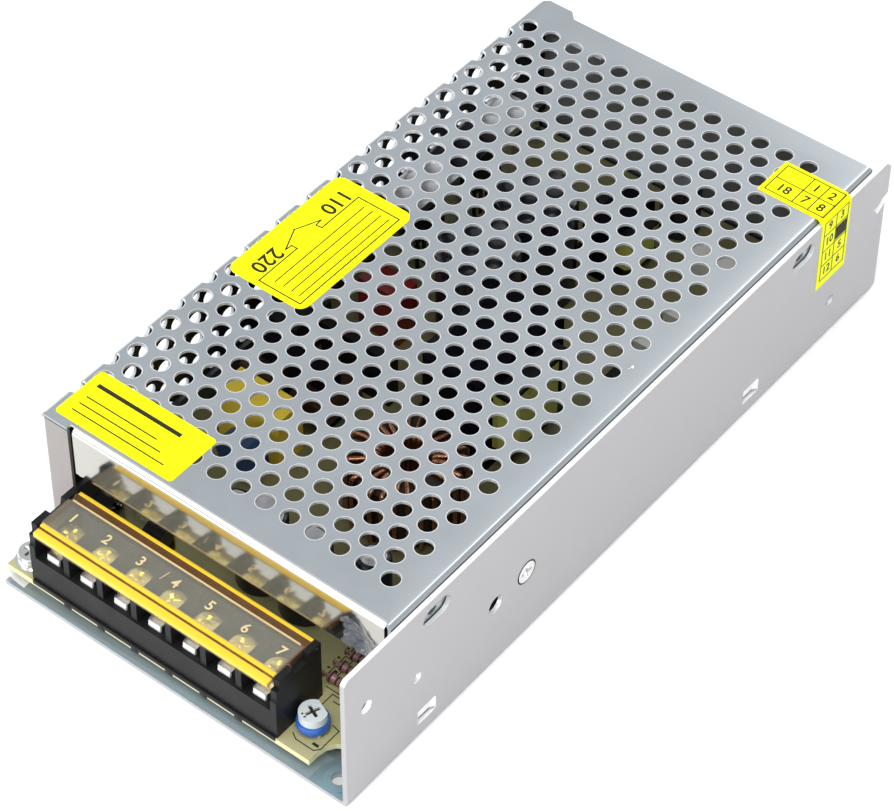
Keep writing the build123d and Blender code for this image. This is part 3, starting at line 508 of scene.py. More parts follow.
def cross_loop(half_width, reach):
    """Outline of a cross recess."""
    w, r = half_width, reach
    right, left = [(r, -w), (r, w), (w, w), (w, r)], [(-r, w), (-r, -w), (-w, -w), (-w, -r)]
    return [*right, (-w, r), (-w, w), *left, (w, -r), (w, -w)]


def bent(points, radius, steps=6):
    """A path with its square corners rounded."""
    path = [Vector(points[0])]
    for before, corner, after in zip(points, points[1:], points[2:]):
        corner, before, after = Vector(corner), Vector(before), Vector(after)
        inward, outward = (before - corner).normalized(), (after - corner).normalized()
        centre = corner + (inward + outward) * radius
        for step in range(steps + 1):
            angle = pi / 2 * step / steps
            path.append(centre - outward * radius * cos(angle) - inward * radius * sin(angle))
    path.append(Vector(points[-1]))
    return [tuple(p) for p in path]


# Geometry Nodes


class Growth:
    """A Geometry Nodes tree with named inputs, used once and converted to a plain mesh."""

    def __init__(self, name, sockets):
        self.tree = bpy.data.node_groups.new(name, "GeometryNodeTree")
        self.ids = {}
        face = self.tree.interface
        face.new_socket("Geometry", in_out="INPUT", socket_type="NodeSocketGeometry")
        for label, kind in sockets.items():
            made = face.new_socket(label, in_out="INPUT", socket_type="NodeSocket" + kind)
            self.ids[label] = made.identifier
        face.new_socket("Geometry", in_out="OUTPUT", socket_type="NodeSocketGeometry")
        self.start = self.add("NodeGroupInput")
        self.end = self.add("NodeGroupOutput")

    def add(self, kind, feeds=None, **settings):
        return add(self.tree, kind, feeds, **settings)

    def math(self, operation, a, b=0.0):
        return sums(self.tree, operation, a, b)

    def join(self, *parts):
        """Several geometries as one."""
        made = self.add("GeometryNodeJoinGeometry")
        for part in parts:
            self.tree.links.new(part, made.inputs[0])
        return made.outputs[0]

    def close(self, geometry):
        """Ends the tree in realized instances and a material."""
        real = self.add("GeometryNodeRealizeInstances", {"Geometry": geometry}).outputs[0]
        coat = {"Geometry": real, "Material": self.start.outputs["Material"]}
        self.tree.links.new(self.add("GeometryNodeSetMaterial", coat).outputs[0], self.end.inputs[0])

    def grow(self, start, values):
        """The plain mesh that the tree makes from a starting mesh and its inputs."""
        carrier = placed("carrier", start)
        modifier = carrier.modifiers.new("Growth", "NODES")
        modifier.node_group = self.tree
        for label, value in values.items():
            modifier[self.ids[label]] = value
        carrier.update_tag()
        return baked(carrier)


@cache
def repeat_tree():
    """Copies of one object on the starting mesh's points, turned about Z by a step and by chance."""
    sockets = {"Piece": "Object", "Turn": "Float", "Step": "Float", "Seed": "Int"}
    sockets["Material"] = "Material"
    growth = Growth("Repeats", sockets)
    start = growth.start.outputs
    source = growth.add("GeometryNodeObjectInfo", {"Object": start["Piece"]})
    index = growth.add("GeometryNodeInputIndex").outputs[0]
    draw = {"ID": index, "Seed": start["Seed"]}
    chance = growth.add("FunctionNodeRandomValue", draw, data_type="FLOAT").outputs[1]
    loose = growth.math("MULTIPLY", chance, start["Turn"])
    steady = growth.math("MULTIPLY", index, start["Step"])
    spin = growth.add("ShaderNodeCombineXYZ", {"Z": growth.math("ADD", loose, steady)}).outputs[0]
    each = {"Points": start["Geometry"], "Instance": source.outputs["Geometry"], "Rotation": spin}
    copies = growth.add("GeometryNodeInstanceOnPoints", each)
    growth.close(copies.outputs[0])
    return growth


def repeated(name, bm, places, material, turn=0.0, step=0.0, seed=3, **rest):
    """Like pieces at several places, in one mesh."""
    growth = repeat_tree()
    single = placed(name + " one", in_metres(name + " one", bm))
    points = bpy.data.meshes.new(name + " points")
    points.from_pydata([[c * MM for c in place] for place in places], [], [])
    values = {"Piece": single, "Turn": turn, "Step": step, "Seed": seed, "Material": material}
    made = growth.grow(points, values)
    bpy.data.objects.remove(single)
    return shown(name, made, material, **rest)


# Places of the repeated parts, in millimetres
WAYS = [-35.4 + 9.8 * way for way in range(7)]
CLAMP_Y = -91.1
LID = (-39.25, 27.25)
LID_TOP = 23.95
RESISTOR_X, RESISTORS = 31.0, (-79.4, -75.6, -71.8)
TRIMMER = (33.2, -91.4)
KNOB_TURN = 68
BULK_SIZE = 20.0
CANS = (
    (-11.0, 21.0, BULK_SIZE, 30.0),
    (-11.0, 42.5, BULK_SIZE, 30.0),
    (-2.2, -66.3, 12.5, 20.7),
    (10.6, -66.8, 12.5, 20.7),
    (-14.5, -61.0, 8.0, 12.0),
    (24.5, -60.5, 8.0, 21.0),
    (36.0, -64.0, 8.0, 12.0),
    (36.0, 4.0, 6.3, 11.0),
    (4.0, 81.0, 10.0, 16.0),
)


def perforation_tree():
    """The starting outline filled, with staggered round holes, then thickened downwards."""
    sockets = dict.fromkeys(("Columns", "Rows", "Hole steps"), "Int")
    sockets |= dict.fromkeys(("Column pitch", "Row pitch", "First column", "First row"), "Float")
    sockets |= dict.fromkeys(("Hole diameter", "Fold place", "Fold gain", "Thickness"), "Float")
    sockets |= {"Window centre": "Vector", "Window reach": "Vector", "Material": "Material"}
    growth = Growth("Perforated sheet", sockets)
    add, calc, s = growth.add, growth.math, growth.start.outputs
    count = calc("MULTIPLY", s["Columns"], s["Rows"])
    index = add("GeometryNodeInputIndex").outputs[0]
    row = calc("FLOOR", calc("DIVIDE", calc("ADD", index, 0.5), s["Columns"]))
    column = calc("SUBTRACT", index, calc("MULTIPLY", row, s["Columns"]))
    stagger = calc("MULTIPLY", calc("MODULO", row, 2.0), 0.5)
    along = calc("MULTIPLY", calc("ADD", column, stagger), s["Column pitch"])
    x = calc("ADD", along, s["First column"])
    past = calc("LESS_THAN", x, s["Fold place"])
    x = calc("ADD", x, calc("MULTIPLY", past, s["Fold gain"]))
    y = calc("SUBTRACT", s["First row"], calc("MULTIPLY", row, s["Row pitch"]))
    place = add("ShaderNodeCombineXYZ", {"X": x, "Y": y}).outputs[0]
    points = add("GeometryNodePoints", {"Count": count, "Position": place}).outputs[0]
    position = add("GeometryNodeInputPosition").outputs[0]
    ends = {0: position, 1: s["Window centre"]}
    away = add("ShaderNodeVectorMath", ends, operation="SUBTRACT").outputs[0]
    size = add("ShaderNodeVectorMath", {0: away}, operation="ABSOLUTE").outputs[0]
    gap = add("ShaderNodeVectorMath", {0: s["Window reach"], 1: size}, operation="SUBTRACT").outputs[0]
    parts = add("ShaderNodeSeparateXYZ", {0: gap}).outputs
    inside = calc("MULTIPLY", calc("GREATER_THAN", parts[0], 0.0), calc("GREATER_THAN", parts[1], 0.0))
    cut = {"Geometry": points, "Selection": inside}
    kept = add("GeometryNodeDeleteGeometry", cut, domain="POINT").outputs[0]
    round_hole = {"Resolution": s["Hole steps"], "Radius": calc("DIVIDE", s["Hole diameter"], 2.0)}
    circle = add("GeometryNodeCurvePrimitiveCircle", round_hole).outputs[0]
    rings = add("GeometryNodeInstanceOnPoints", {"Points": kept, "Instance": circle}).outputs[0]
    edge = add("GeometryNodeMeshToCurve", {"Mesh": s["Geometry"]}).outputs[0]
    real = add("GeometryNodeRealizeInstances", {"Geometry": growth.join(rings, edge)}).outputs[0]
    flat = add("GeometryNodeFillCurve", {"Curve": real}, mode="TRIANGLES").outputs[0]
    down = add("ShaderNodeCombineXYZ", {"Z": calc("MULTIPLY", s["Thickness"], -1.0)}).outputs[0]
    push = {"Mesh": flat, "Offset": down, "Offset Scale": 1.0, "Individual": False}
    thick = add("GeometryNodeExtrudeMesh", push, mode="FACES").outputs[0]
    weld = {0: growth.join(thick, flat), "Distance": 1e-6}
    growth.close(add("GeometryNodeMergeByDistance", weld).outputs[0])
    return growth


def wall_flat(z):
    """The place on the flat sheet of a height on the left wall."""
    return z + WALL_END


def cover_outline():
    """Outline of the flat cover sheet with the selector's window, as loose edges."""
    edge = wall_flat(WALL_TOP)
    outer = [
        (WALL_END, COVER_FRONT + BEND),
        (edge, COVER_FRONT + BEND),
        (edge, COVER_FRONT),
        (-41.3, COVER_FRONT),
        (-41.3, COVER_FRONT + BEND),
        (COVER_RIGHT - BEND + 0.1, COVER_FRONT + BEND),
        (COVER_RIGHT - BEND + 0.1, COVER_FRONT + 0.4),
        (FLANGE_END, COVER_FRONT + 0.4),
        (FLANGE_END, COVER_BACK),
        (-38.0, COVER_BACK),
        (-40.1, COVER_TAB),
        (-46.9, COVER_TAB),
        (edge, 92.9),
        (edge, 93.5),
        (WALL_END, 93.5),
    ]
    low, high = wall_flat(8.8), wall_flat(14.8)
    window = [(low, -11.7), (high, -11.7), (high, -0.3), (low, -0.3)]
    holes = [ring_loop(x, y, FLANGE_HOLE, 16) for x, y in flange_holes()]
    heads = [ring_loop(wall_flat(SIDE_SCREW_HEIGHT), y, SIDE_SCREW_HOLE, 20) for y in (-62.0, 62.0)]
    verts, edges = [], []
    for loop in (outer, window, *holes, *heads):
        first = len(verts)
        verts += [(x * MM, y * MM, 0) for x, y in loop]
        edges += [(first + i, first + (i + 1) % len(loop)) for i in range(len(loop))]
    data = bpy.data.meshes.new("cover outline")
    data.from_pydata(verts, edges, [])
    return data


def flange_holes():
    """Threaded holes of the right flange, on the flat sheet."""
    x = COVER_RIGHT - BEND + FOLD_RUN + (TOP - BEND - 35.8)
    return [(x, -69.7), (x, 64.0)]


def fold_sheet(bm):
    """Bends the flat sheet down at its left and right folds."""
    spots, folds = [], ((LEFT + BEND, -1), (COVER_RIGHT - BEND, 1))
    for start, way in folds:
        spots += [start + way * FOLD_RUN * step / 6 for step in range(7)]
    for x in spots:
        geometry = bm.verts[:] + bm.edges[:] + bm.faces[:]
        bmesh.ops.bisect_plane(bm, geom=geometry, plane_co=(x, 0, 0), plane_no=(1, 0, 0), dist=1e-5)
    for vert in bm.verts:
        x, y, drop = vert.co
        for start, way in folds:
            run = (x - start) * way
            if run <= 0:
                continue
            angle = min(run / FOLD_RUN, 1.0) * pi / 2
            reach = BEND + drop
            past = max(run - FOLD_RUN, 0.0)
            side = start + way * reach * sin(angle)
            height = TOP - BEND + reach * cos(angle) - past
            vert.co = (side, y, height)
            break
        else:
            vert.co = (x, y, TOP + drop)


def number(name, text, value):
    return bpy.props.IntProperty(name=name, description=text, default=value)


def length(name, text, value):
    return bpy.props.FloatProperty(name=name, description=text, default=value * MM, unit="LENGTH")


class CoverSettings(bpy.types.PropertyGroup):
    """Perforations of the cover."""

    columns: number("Columns", "Holes across the unfolded sheet", 18)
    rows: number("Rows", "Rows of holes along the cover", 30)
    column_pitch: length("Column pitch", "Distance between holes of a row", 6.766)
    row_pitch: length("Row pitch", "Distance between rows", 5.412)
    hole: length("Hole diameter", "Diameter of a perforation", 4.3)
    hole_steps: number("Hole steps", "Edges round a perforation", 24)


class SUPPLY_OT_cover(bpy.types.Operator):
    """Builds the perforated cover with its folds, lip and corner flanges"""

    bl_idname = "supply.cover"
    bl_label = "Perforated cover"

    def execute(self, context):
        settings = context.scene.supply_cover
        growth = perforation_tree()
        values = {
            "Columns": settings.columns,
            "Rows": settings.rows,
            "Column pitch": settings.column_pitch,
            "Row pitch": settings.row_pitch,
            "First column": FIRST_COLUMN * MM - SIDE_COLUMNS * settings.column_pitch,
            "First row": FIRST_ROW * MM,
            "Hole diameter": settings.hole,
            "Hole steps": settings.hole_steps,
            "Fold place": -48.8 * MM,
            "Fold gain": 1.23 * MM,
            "Window centre": (wall_flat(11.8) * MM, -6.0 * MM, 0.0),
            "Window reach": (5.5 * MM, 8.5 * MM, 1.0),
            "Thickness": SHEET * MM,
            "Material": steel_cover(),
        }
        flat = growth.grow(cover_outline(), values)
        bm = bmesh.new()
        bm.from_mesh(flat)
        bmesh.ops.scale(bm, vec=(1 / MM, 1 / MM, 1 / MM), verts=bm.verts)
        fold_sheet(bm)
        self.corners(bm)
        coat = punched_rims(steel_cover(), settings)
        cover = piece("cover_sheet", bm, coat, slot="cover_steel", smooth=25)
        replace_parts(cover, "perforated_cover")
        bm = bmesh.new()
        self.lip(bm)
        piece("cover_lip", bm, steel_lip(), smooth=25)
        self.sleeve()
        bm = bmesh.new()
        turned(bm, [(0.75, TOP), (0.7, TOP + 0.1), (0.4, TOP + 0.16)], (42.0, 6.5, 0), steps=20)
        piece("weld_spot", bm, bright_steel())
        return {"FINISHED"}

    def sleeve(self):
        """Painted reflection of a crumpled clear sleeve: a dark, clear, crumpled sheet laid against the
        right end of the lip.
        """
        chance = random.Random(11)
        bm = bmesh.new()
        columns, rows = 16, 14
        grid = []
        for i in range(columns + 1):
            for j in range(rows + 1):
                across, up = i / columns, j / rows
                x = 34.6 + 11.6 * across + 1.6 * sin(3.0 * up) + chance.uniform(-0.25, 0.25)
                z = 29.2 + 9.6 * up * (0.75 + 0.25 * sin(6.0 * across)) + chance.uniform(-0.2, 0.2)
                grid.append(bm.verts.new((x, -83.9 + chance.uniform(-0.45, 0.35), z)))
        for i in range(columns):
            for j in range(rows):
                a = i * (rows + 1) + j
                bm.faces.new((grid[a], grid[a + 1], grid[a + rows + 2], grid[a + rows + 1]))
        # Painted reflection: a dark clear sheet over the lip's right end.
        coat = finish("painted sleeve reflection", (0.16, 0.17, 0.2), 0.08, grain=0.3, scale=120, Alpha=0.45)
        piece("clear_sleeve", bm, coat, smooth=12)

    def lip(self, bm):
        """The front lip with its fold."""
        face, end = COVER_FRONT + SHEET, COVER_FRONT + BEND + 0.01
        outer = bent([(COVER_FRONT, LIP_LOW), (COVER_FRONT, TOP), (end, TOP)], BEND)
        inner = bent([(face, LIP_LOW), (face, TOP - SHEET), (end, TOP - SHEET)], BEND - SHEET)
        swept(bm, outer + inner[::-1], LIP_LEFT, COVER_RIGHT - BEND, "X")

    def corners(self, bm):
        """The flanges that close the left wall at its front and rear edges."""
        for edge, way, low in ((COVER_FRONT, 1, 8.4), (COVER_TAB, -1, 0.0)):
            start, end, inside = edge + way * BEND, LEFT + CORNER_REACH, edge + way * SHEET
            outer = bent([(LEFT, start), (LEFT, edge), (end, edge)], BEND - 0.001)
            turn = [(LEFT + SHEET, start), (LEFT + SHEET, inside), (end, inside)]
            inner = bent(turn, BEND - SHEET - 0.001)
            swept(bm, outer + inner[::-1], low, WALL_TOP, "Z")


class SUPPLY_OT_base(bpy.types.Operator):
    """Finishes the base, the board and what holds them"""

    bl_idname = "supply.base"
    bl_label = "Base and board"

    def execute(self, context):
        paint(steel_base(), "base_chassis")
        paint(brass(), "board_standoffs", "fuse_clips")
        paint(plain("dark cap", (0.02, 0.018, 0.018), 0.12), "fuse_caps")
        paint(clear_film(), "insulation_film")
        paint(laminate(), "circuit_board")
        paint(bright_steel(), "board_screws", "cover_side_screws", "rectifier_nut")
        self.wall_screw()
        self.corner_screw()
        self.film_tip()
        return {"FINISHED"}

    def film_tip(self):
        """The insulation film's front left tip, which curls up and out over the floor's edge."""
        bm = bmesh.new()
        rows = []
        for step in range(9):
            part = step / 8
            x, z = -44.0 - 5.6 * part, 1.5 + 1.6 * part * part
            reach = 4.6 * (1 - 0.55 * part)
            ends = (-98.8, -98.8 + reach)
            rows.append([bm.verts.new((x, y, z + lift)) for lift in (0, 0.12) for y in ends])
        for near, far in zip(rows, rows[1:]):
            for a, b in ((0, 1), (1, 3), (3, 2), (2, 0)):
                bm.faces.new((near[a], near[b], far[b], far[a]))
        for row in (rows[0], rows[-1]):
            bm.faces.new([row[i] for i in (0, 1, 3, 2)])
        tip = finish("film tip", (0.8, 0.83, 0.85), 0.1, grain=0.05, scale=40, Alpha=0.5)
        piece("film_tip", bm, tip)

    def wall_screw(self):
        """Flush cross-headed screw of the right wall, with a black ring of painted shade in the gap
        round it.
        """
        bm = bmesh.new()
        plate(bm, [ring_loop(0, 0, 2.75, 32), cross_loop(0.38, 1.7)], 0.1, 0.55)
        turned(bm, [(1.4, -9.0), (1.4, -1.0), (2.7, -0.5), (2.75, 0.1)], steps=32)
        stand = Matrix(((0, 0, 1, 48.5), (1, 0, 0, -39.0), (0, 1, 0, 20.3), (0, 0, 0, 1)))
        bm.transform(stand)
        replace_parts(piece("wall_screw", bm, bright_steel()), "rectifier_screw")
        bm = bmesh.new()
        # Painted shade: a black ring over the gap round the head.
        plate(bm, [ring_loop(0, 0, 3.15, 32), ring_loop(0, 0, 2.8, 32)], 0.4, 0.52)
        bm.transform(stand)
        piece("wall_screw_ring", bm, ink())

    def corner_screw(self):
        """Pan head with a washer over the board screw left of the terminals."""
        bm = bmesh.new()
        turned(bm, [(3.9, 6.32), (3.9, 6.8), (3.2, 6.9), (3.2, 8.4), (2.9, 8.8)], steps=32)
        plate(bm, [ring_loop(0, 0, 2.9, 32), cross_loop(0.45, 1.9)], 8.8, 9.3)
        bmesh.ops.translate(bm, vec=(-45.0, -94.4, 0), verts=bm.verts)
        piece("corner_screw", bm, bright_steel())


class SUPPLY_OT_terminals(bpy.types.Operator):
    """Finishes the terminal block, its screws and its hinged cover"""

    bl_idname = "supply.terminals"
    bl_label = "Terminals"

    def execute(self, context):
        paint(black_plastic(), "terminal_block_body")
        paint(bright_steel(), "terminal_contacts")
        paint(brass(), "terminal_clamp_plates")
        paint(clear_lid(), "terminal_cover")
        bm = bmesh.new()
        block(bm, (-1.0, -98.9, 4.55), (1.0, -98.2, 6.6), 0.1)
        repeated("block_feet", bm, [(x + 4.9, 0, 0) for x in WAYS[:-1]], black_plastic())
        bm = bmesh.new()
        block(bm, (-40.8, -98.85, 5.5), (28.8, -98.2, 6.7), 0.1)
        piece("block_apron", bm, black_plastic())
        self.screws()
        self.tongues()
        self.lid()
        return {"FINISHED"}

    def screws(self):
        """Cross-headed clamp screws, each stopped at its own angle."""
        bm = bmesh.new()
        turned(bm, [(1.5, 7.3), (1.5, 16.3), (3.1, 16.3), (3.1, 17.6)], steps=32)
        plate(bm, [ring_loop(0, 0, 3.1, 32), cross_loop(0.42, 1.9)], 17.6, 18.2)
        plate(bm, [ring_loop(0, 0, 2.8, 32), cross_loop(0.42, 1.9)], 18.2, 18.5)
        places = [(x, CLAMP_Y, 0) for x in WAYS]
        gilt = finish("gilt", (1.0, 0.86, 0.36), 0.16, 0.95, grain=0.1, scale=300, bump=0.6)
        heads = repeated("terminal_heads", bm, places, gilt, turn=3.1, seed=5)
        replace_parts(heads, "terminal_screws")

    def tongues(self):
        """Front faces of the contacts, ribbed across, their bright plating painted near white as a
        painted highlight.
        """
        bm = bmesh.new()
        block(bm, (-1.7, -97.0, 12.4), (1.7, -96.72, 16.1), 0.1)
        for rib in (13.4, 14.7):
            block(bm, (-1.7, -97.15, rib), (1.7, -96.95, rib + 0.5), 0.1)
        # Painted highlight: near white, half metallic, so the faces look lit.
        contact_highlight = finish("contact plating with painted highlight", (0.85, 0.85, 0.82), 0.3, 0.4, grain=0.1, scale=300)
        repeated("contact_faces", bm, [(x, 0, 0) for x in WAYS], contact_highlight)

    def lid(self):
        """Thicker amber edges of the clear lid, and its moulded numbers."""
        low_x, high_x = LID
        bm = bmesh.new()
        for low, high, bevel in (
            ((-98.53, 21.8), (-96.75, 23.12), 0.2),
            ((-96.3, 23.0), (-95.2, 23.6), 0.15),
            ((-84.25, 22.0), (-83.27, 23.12), 0.15),
        ):
            block(bm, (low_x + 0.1, *low), (high_x - 0.1, *high), bevel)
        piece("lid_edges", bm, amber(), body="lid")
        bm = bmesh.new()
        block(bm, (low_x + 0.1, -96.75, 22.6), (high_x - 0.1, -96.3, 23.08))
        block(bm, (low_x + 0.1, -86.1, 22.2), (high_x - 0.1, -84.25, 23.08))
        for x in (low_x, high_x - 0.8):
            block(bm, (x, -95.2, 19.6), (x + 0.8, -86.8, 23.3))
        piece("lid_shade", bm, brown_amber(), body="lid")
        bm = bmesh.new()
        block(bm, (low_x + 1, -86.75, 23.5), (high_x - 1, -86.45, 23.97), 0.05)
        for number, x in enumerate(WAYS, 1):
            figures(bm, str(number), x + 0.9, -90.6, 3.6, LID_TOP + 0.02)
        line(bm, [(-8.6, -91.6), (-8.1, -89.0)], 0.15, LID_TOP + 0.02)
        piece("lid_print", bm, pale_amber(), body="lid")


class SUPPLY_OT_labels(bpy.types.Operator):
    """Lays out the labels and prints them"""

    bl_idname = "supply.labels"
    bl_label = "Labels"

    def execute(self, context):
        paint(label_yellow(), "date_label")
        for name, corners, radius in (
            ("front_label", (-46.9, -13.4, -81.3, -66.2), 0.9),
            ("selector_label", (-46.9, -24.6, -25.2, 14.4), 2.5),
        ):
            bm = bmesh.new()
            plate(bm, [rounded(*corners, radius)], TOP + 0.01, TOP + 0.15)
            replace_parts(piece(name + "_sheet", bm, label_yellow()), name)
        self.print_front()
        self.print_selector()
        self.print_date()
        return {"FINISHED"}

    def print_front(self):
        """Plain rules in place of words."""
        bm = bmesh.new()
        line(bm, [(-44, -70.0), (-21, -70.0)], 1.1, LABEL_TOP)
        for y, end in ((-74.0, -24), (-76.3, -21), (-78.6, -18)):
            line(bm, [(-44, y), (end, y)], 0.36, LABEL_TOP)
        piece("front_print", bm, ink())

    def print_selector(self):
        """Numbers, the box beside them with its double arrow, and rules in place of words."""
        bm = bmesh.new()
        figures(bm, "110", -41.5, 6.8, 5.6, LABEL_TOP, turn=-90)
        figures(bm, "220", -41.4, -17.6, 5.6, LABEL_TOP, turn=-90)
        arrow = [(-38.5, -1.7), (-40.1, -1.9), (-40.3, 0.1), (-43.0, -6.1)]
        arrow += [(-40.3, -12.3), (-40.1, -10.5), (-38.5, -10.4)]
        frame_line = [(-38.5, 11.3), *arrow, (-38.5, -23.6), (-26.5, -23.6), (-26.5, 11.3)]
        line(bm, frame_line, 0.34, LABEL_TOP, closed=True)
        for x in (-35.4, -33.0, -30.6, -28.3):
            line(bm, [(x, 9.6), (x, -21.6)], 0.3, LABEL_TOP)
        piece("selector_print", bm, ink())

    def table(self, bm, across, along, height, side=False):
        """Crossing rules."""
        for y in along:
            line(bm, [(across[0], y), (across[-1], y)], 0.28, height, side)
        for x in across:
            line(bm, [(x, along[0]), (x, along[-1])], 0.28, height, side)

    def print_date(self):
        """A grid of plain numbers, part on the top and part on the wall."""
        bm = bmesh.new()
        rules = (71.8, 76.6, 81.4)
        self.table(bm, (32.2, 39.6, 43.9, 48.2), rules, LABEL_TOP)
        for y, numbers in ((74.1, {"18": 35.9, "7": 41.7, "8": 46.0}), (78.9, {"1": 41.7, "2": 46.0})):
            for words, x in numbers.items():
                figures(bm, words, x, y, 3.6, LABEL_TOP)
        self.table(bm, rules, (40.6, 36.5, 31.5, 27.0, 22.4), LABEL_SIDE, side=True)
        near, far = {"9": 38.6, "10": 34.0, "11": 29.2, "12": 24.7}, {"3": 38.6, "5": 29.2, "6": 24.7}
        for y, numbers in ((74.2, near), (79.0, far)):
            for words, z in numbers.items():
                figures(bm, words, y, z, 3.2, LABEL_SIDE, side=True)
        line(bm, [(78.8, 34.0), (79.2, 34.0)], 4.0, LABEL_SIDE, side=True)
        piece("date_print", bm, ink())


class SUPPLY_OT_inside(bpy.types.Operator):
    """Finishes the parts on the board"""

    bl_idname = "supply.inside"
    bl_label = "Inner parts"

    def execute(self, context):
        paint(plain("dark blue coating", (0.008, 0.035, 0.1)), "surge_disc")
        paint(plain("grey plastic", (0.42, 0.45, 0.46)), "rectifier_pad")
        glass = finish("clear glass", (0.9, 0.95, 0.95), 0.05, Transmission_Weight=1.0, Alpha=0.4)
        paint(glass, "fuse_glass")
        paint(black_plastic(), "selector_switch_body", "bridge_rectifier", "primary_transistors")
        paint(black_plastic(), "transformer_bobbin", "driver_bobbin", "output_rectifier", "control_chip")
        paint(plain("red plastic", (0.5, 0.02, 0.02)), "selector_slider")
        paint(plain("green coating", (0.03, 0.1, 0.05)), "thermistor")
        paint(plain("dark core", (0.02, 0.012, 0.01)), "output_choke_core")
        paint(plain("yellow plastic", (0.8, 0.6, 0.05)), "line_capacitor")
        paint(plain("maroon coating", (0.2, 0.02, 0.02), 0.2), "film_capacitor")
        paint(ferrite(), "line_choke_core", "transformer_core", "driver_core")
        # Painted shade: the line choke's copper windings painted near black.
        paint(plain("copper in painted shade", (0.03, 0.013, 0.008), 0.3), "line_choke_windings")
        paint(aluminium(), "primary_heatsink")
        paint(yellow_tape(), "transformer_winding", "driver_winding")
        paint(plain("white plastic", (0.75, 0.74, 0.7), 0.6), "optocouplers", "cement_resistor")
        self.trimmer()
        self.cans()
        self.choke()
        self.bands()
        self.silkscreen()
        return {"FINISHED"}

    def cans(self):
        """Sleeved capacitor cans, the small ones with bare tops."""
        sleeves, tops = bmesh.new(), bmesh.new()
        for x, y, size, height in CANS:
            r, z = size / 2, BOARD_TOP + height
            foot = [(r - 0.5, BOARD_TOP + 0.01), (r, BOARD_TOP + 0.5)]
            crimp = [(r, z - 1.0), (r - 0.3, z - 0.3), (r - 1.0, z - 0.1)]
            turned(sleeves, foot + crimp, (x, y, 0), steps=48)
            if size < BULK_SIZE:
                lid = [(r - 1.1, z - 0.3), (r - 1.1, z - 0.02), (r - 1.3, z + 0.01)]
                turned(tops, lid, (x, y, 0), steps=48)
        made = piece("can_sleeves", sleeves, black_sleeve(), smooth=40)
        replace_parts(made, "bulk_capacitors", "output_capacitors", "small_capacitors")
        piece("can_tops", tops, aluminium())

    def choke(self):
        """Round turns of wire round the output choke's core."""
        bm = bmesh.new()
        corners = [(5.9, 6.95), (13.6, 6.95), (13.6, 23.25), (5.9, 23.25)]
        path = []
        for i, (x, z) in enumerate(corners):
            way_x, way_z = ((1, 1), (-1, 1), (-1, -1), (1, -1))[i]
            for step in range(4):
                angle = pi + pi / 2 * (i + step / 3)
                across, up = way_x * 1.2 + 1.2 * cos(angle), way_z * 1.2 + 1.2 * sin(angle)
                path.append((x + across, 0, z + up))
        tube(bm, path, 0.65)
        turns, spaces = 28, 29
        places = [(9.5, -31.0, 0)] * turns
        made = repeated("choke_turns", bm, places, copper(), step=2 * pi / spaces, smooth=60)
        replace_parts(made, "output_choke_winding")

    def bands(self):
        """Front resistors with rounded ends, and the coloured bands round them."""
        places = [(RESISTOR_X, y, BOARD_TOP + 1.3) for y in RESISTORS]
        bm = bmesh.new()
        half = [(0.3, 3.7), (1.1, 3.4), (1.25, 2.9), (1.25, 2.3), (1.0, 1.9)]
        profile = [(radius, -x) for radius, x in half] + half[::-1]
        turned(bm, profile, axis="X", steps=24)
        turned(bm, [(0.3, -5.4), (0.3, 5.4)], axis="X", steps=12)
        for x in (-5.4, 5.1):
            block(bm, (x, -0.3, -1.3), (x + 0.3, 0.3, 0.3))
        coat = plain("resistor coating", (0.3, 0.15, 0.13), 0.25)
        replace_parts(repeated("resistor_bodies", bm, places, coat, smooth=40), "front_resistors")
        bm = bmesh.new()
        for x, radius in ((-2.9, 1.27), (-1.3, 1.02), (-0.2, 1.02), (0.9, 1.02), (2.3, 1.27)):
            band = [(radius - 0.05, x), (radius, x + 0.02), (radius, x + 0.48), (radius - 0.05, x + 0.5)]
            turned(bm, band, axis="X", steps=24)
        repeated("resistor_bands", bm, places, plain("band paint", (0.035, 0.015, 0.015)))

    def trimmer(self):
        """Round trimmer housing on bright legs, and its pale knob with a flat and a cross recess."""
        x, y = TRIMMER
        bm = bmesh.new()
        profile = [(2.6, 7.2), (3.3, 7.3), (3.7, 7.9), (3.75, 9.2), (3.5, 9.7), (3.0, 9.78)]
        turned(bm, profile, (x, y, 0), steps=40)
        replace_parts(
            piece("trimmer_housing", bm, plain("blue plastic", (0.02, 0.1, 0.4), 0.25), smooth=50),
            "trimmer_body",
        )
        bm = bmesh.new()
        for dx, dy in ((-2.5, -1.2), (2.5, -1.2), (0.0, 2.5)):
            turned(bm, [(0.45, BOARD_TOP), (0.45, 7.4)], (x + dx, y + dy, 0), steps=12)
        turned(bm, [(0.9, BOARD_TOP), (0.8, 6.8), (0.4, 7.2)], (x - 2.5, y - 1.6, 0), steps=20)
        piece("trimmer_legs", bm, bright_steel())
        seat = Matrix.Translation((x, y, 0)) @ Matrix.Rotation(radians(KNOB_TURN), 4, "Z")
        bm = bmesh.new()
        rim = [(min(px, 2.45), py) for px, py in ring_loop(0, 0, 3.15, 56)]
        plate(bm, [rim], 9.85, 11.3)
        plate(bm, [rim, cross_loop(0.42, 1.75)], 11.3, 11.95)
        bm.transform(seat)
        pale = finish("pale plastic", (0.55, 0.6, 0.6), 0.4, grain=0.04)
        knob = piece("trimmer_knob", bm, pale, body="trimmer")
        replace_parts(knob, "trimmer_rotor")
        bm = bmesh.new()
        # Painted shade: a dark cross at the bottom of the knob's cross recess.
        plate(bm, [cross_loop(0.41, 1.74)], 11.3, 11.34)
        for side, turn in ((-2.5, 0.5), (-2.45, -0.5)):
            block(bm, (side, turn - 0.2, 11.9), (side + 0.5, turn + 0.2, 11.97))
        bm.transform(seat)
        piece("trimmer_print", bm, ink(), body="trimmer")

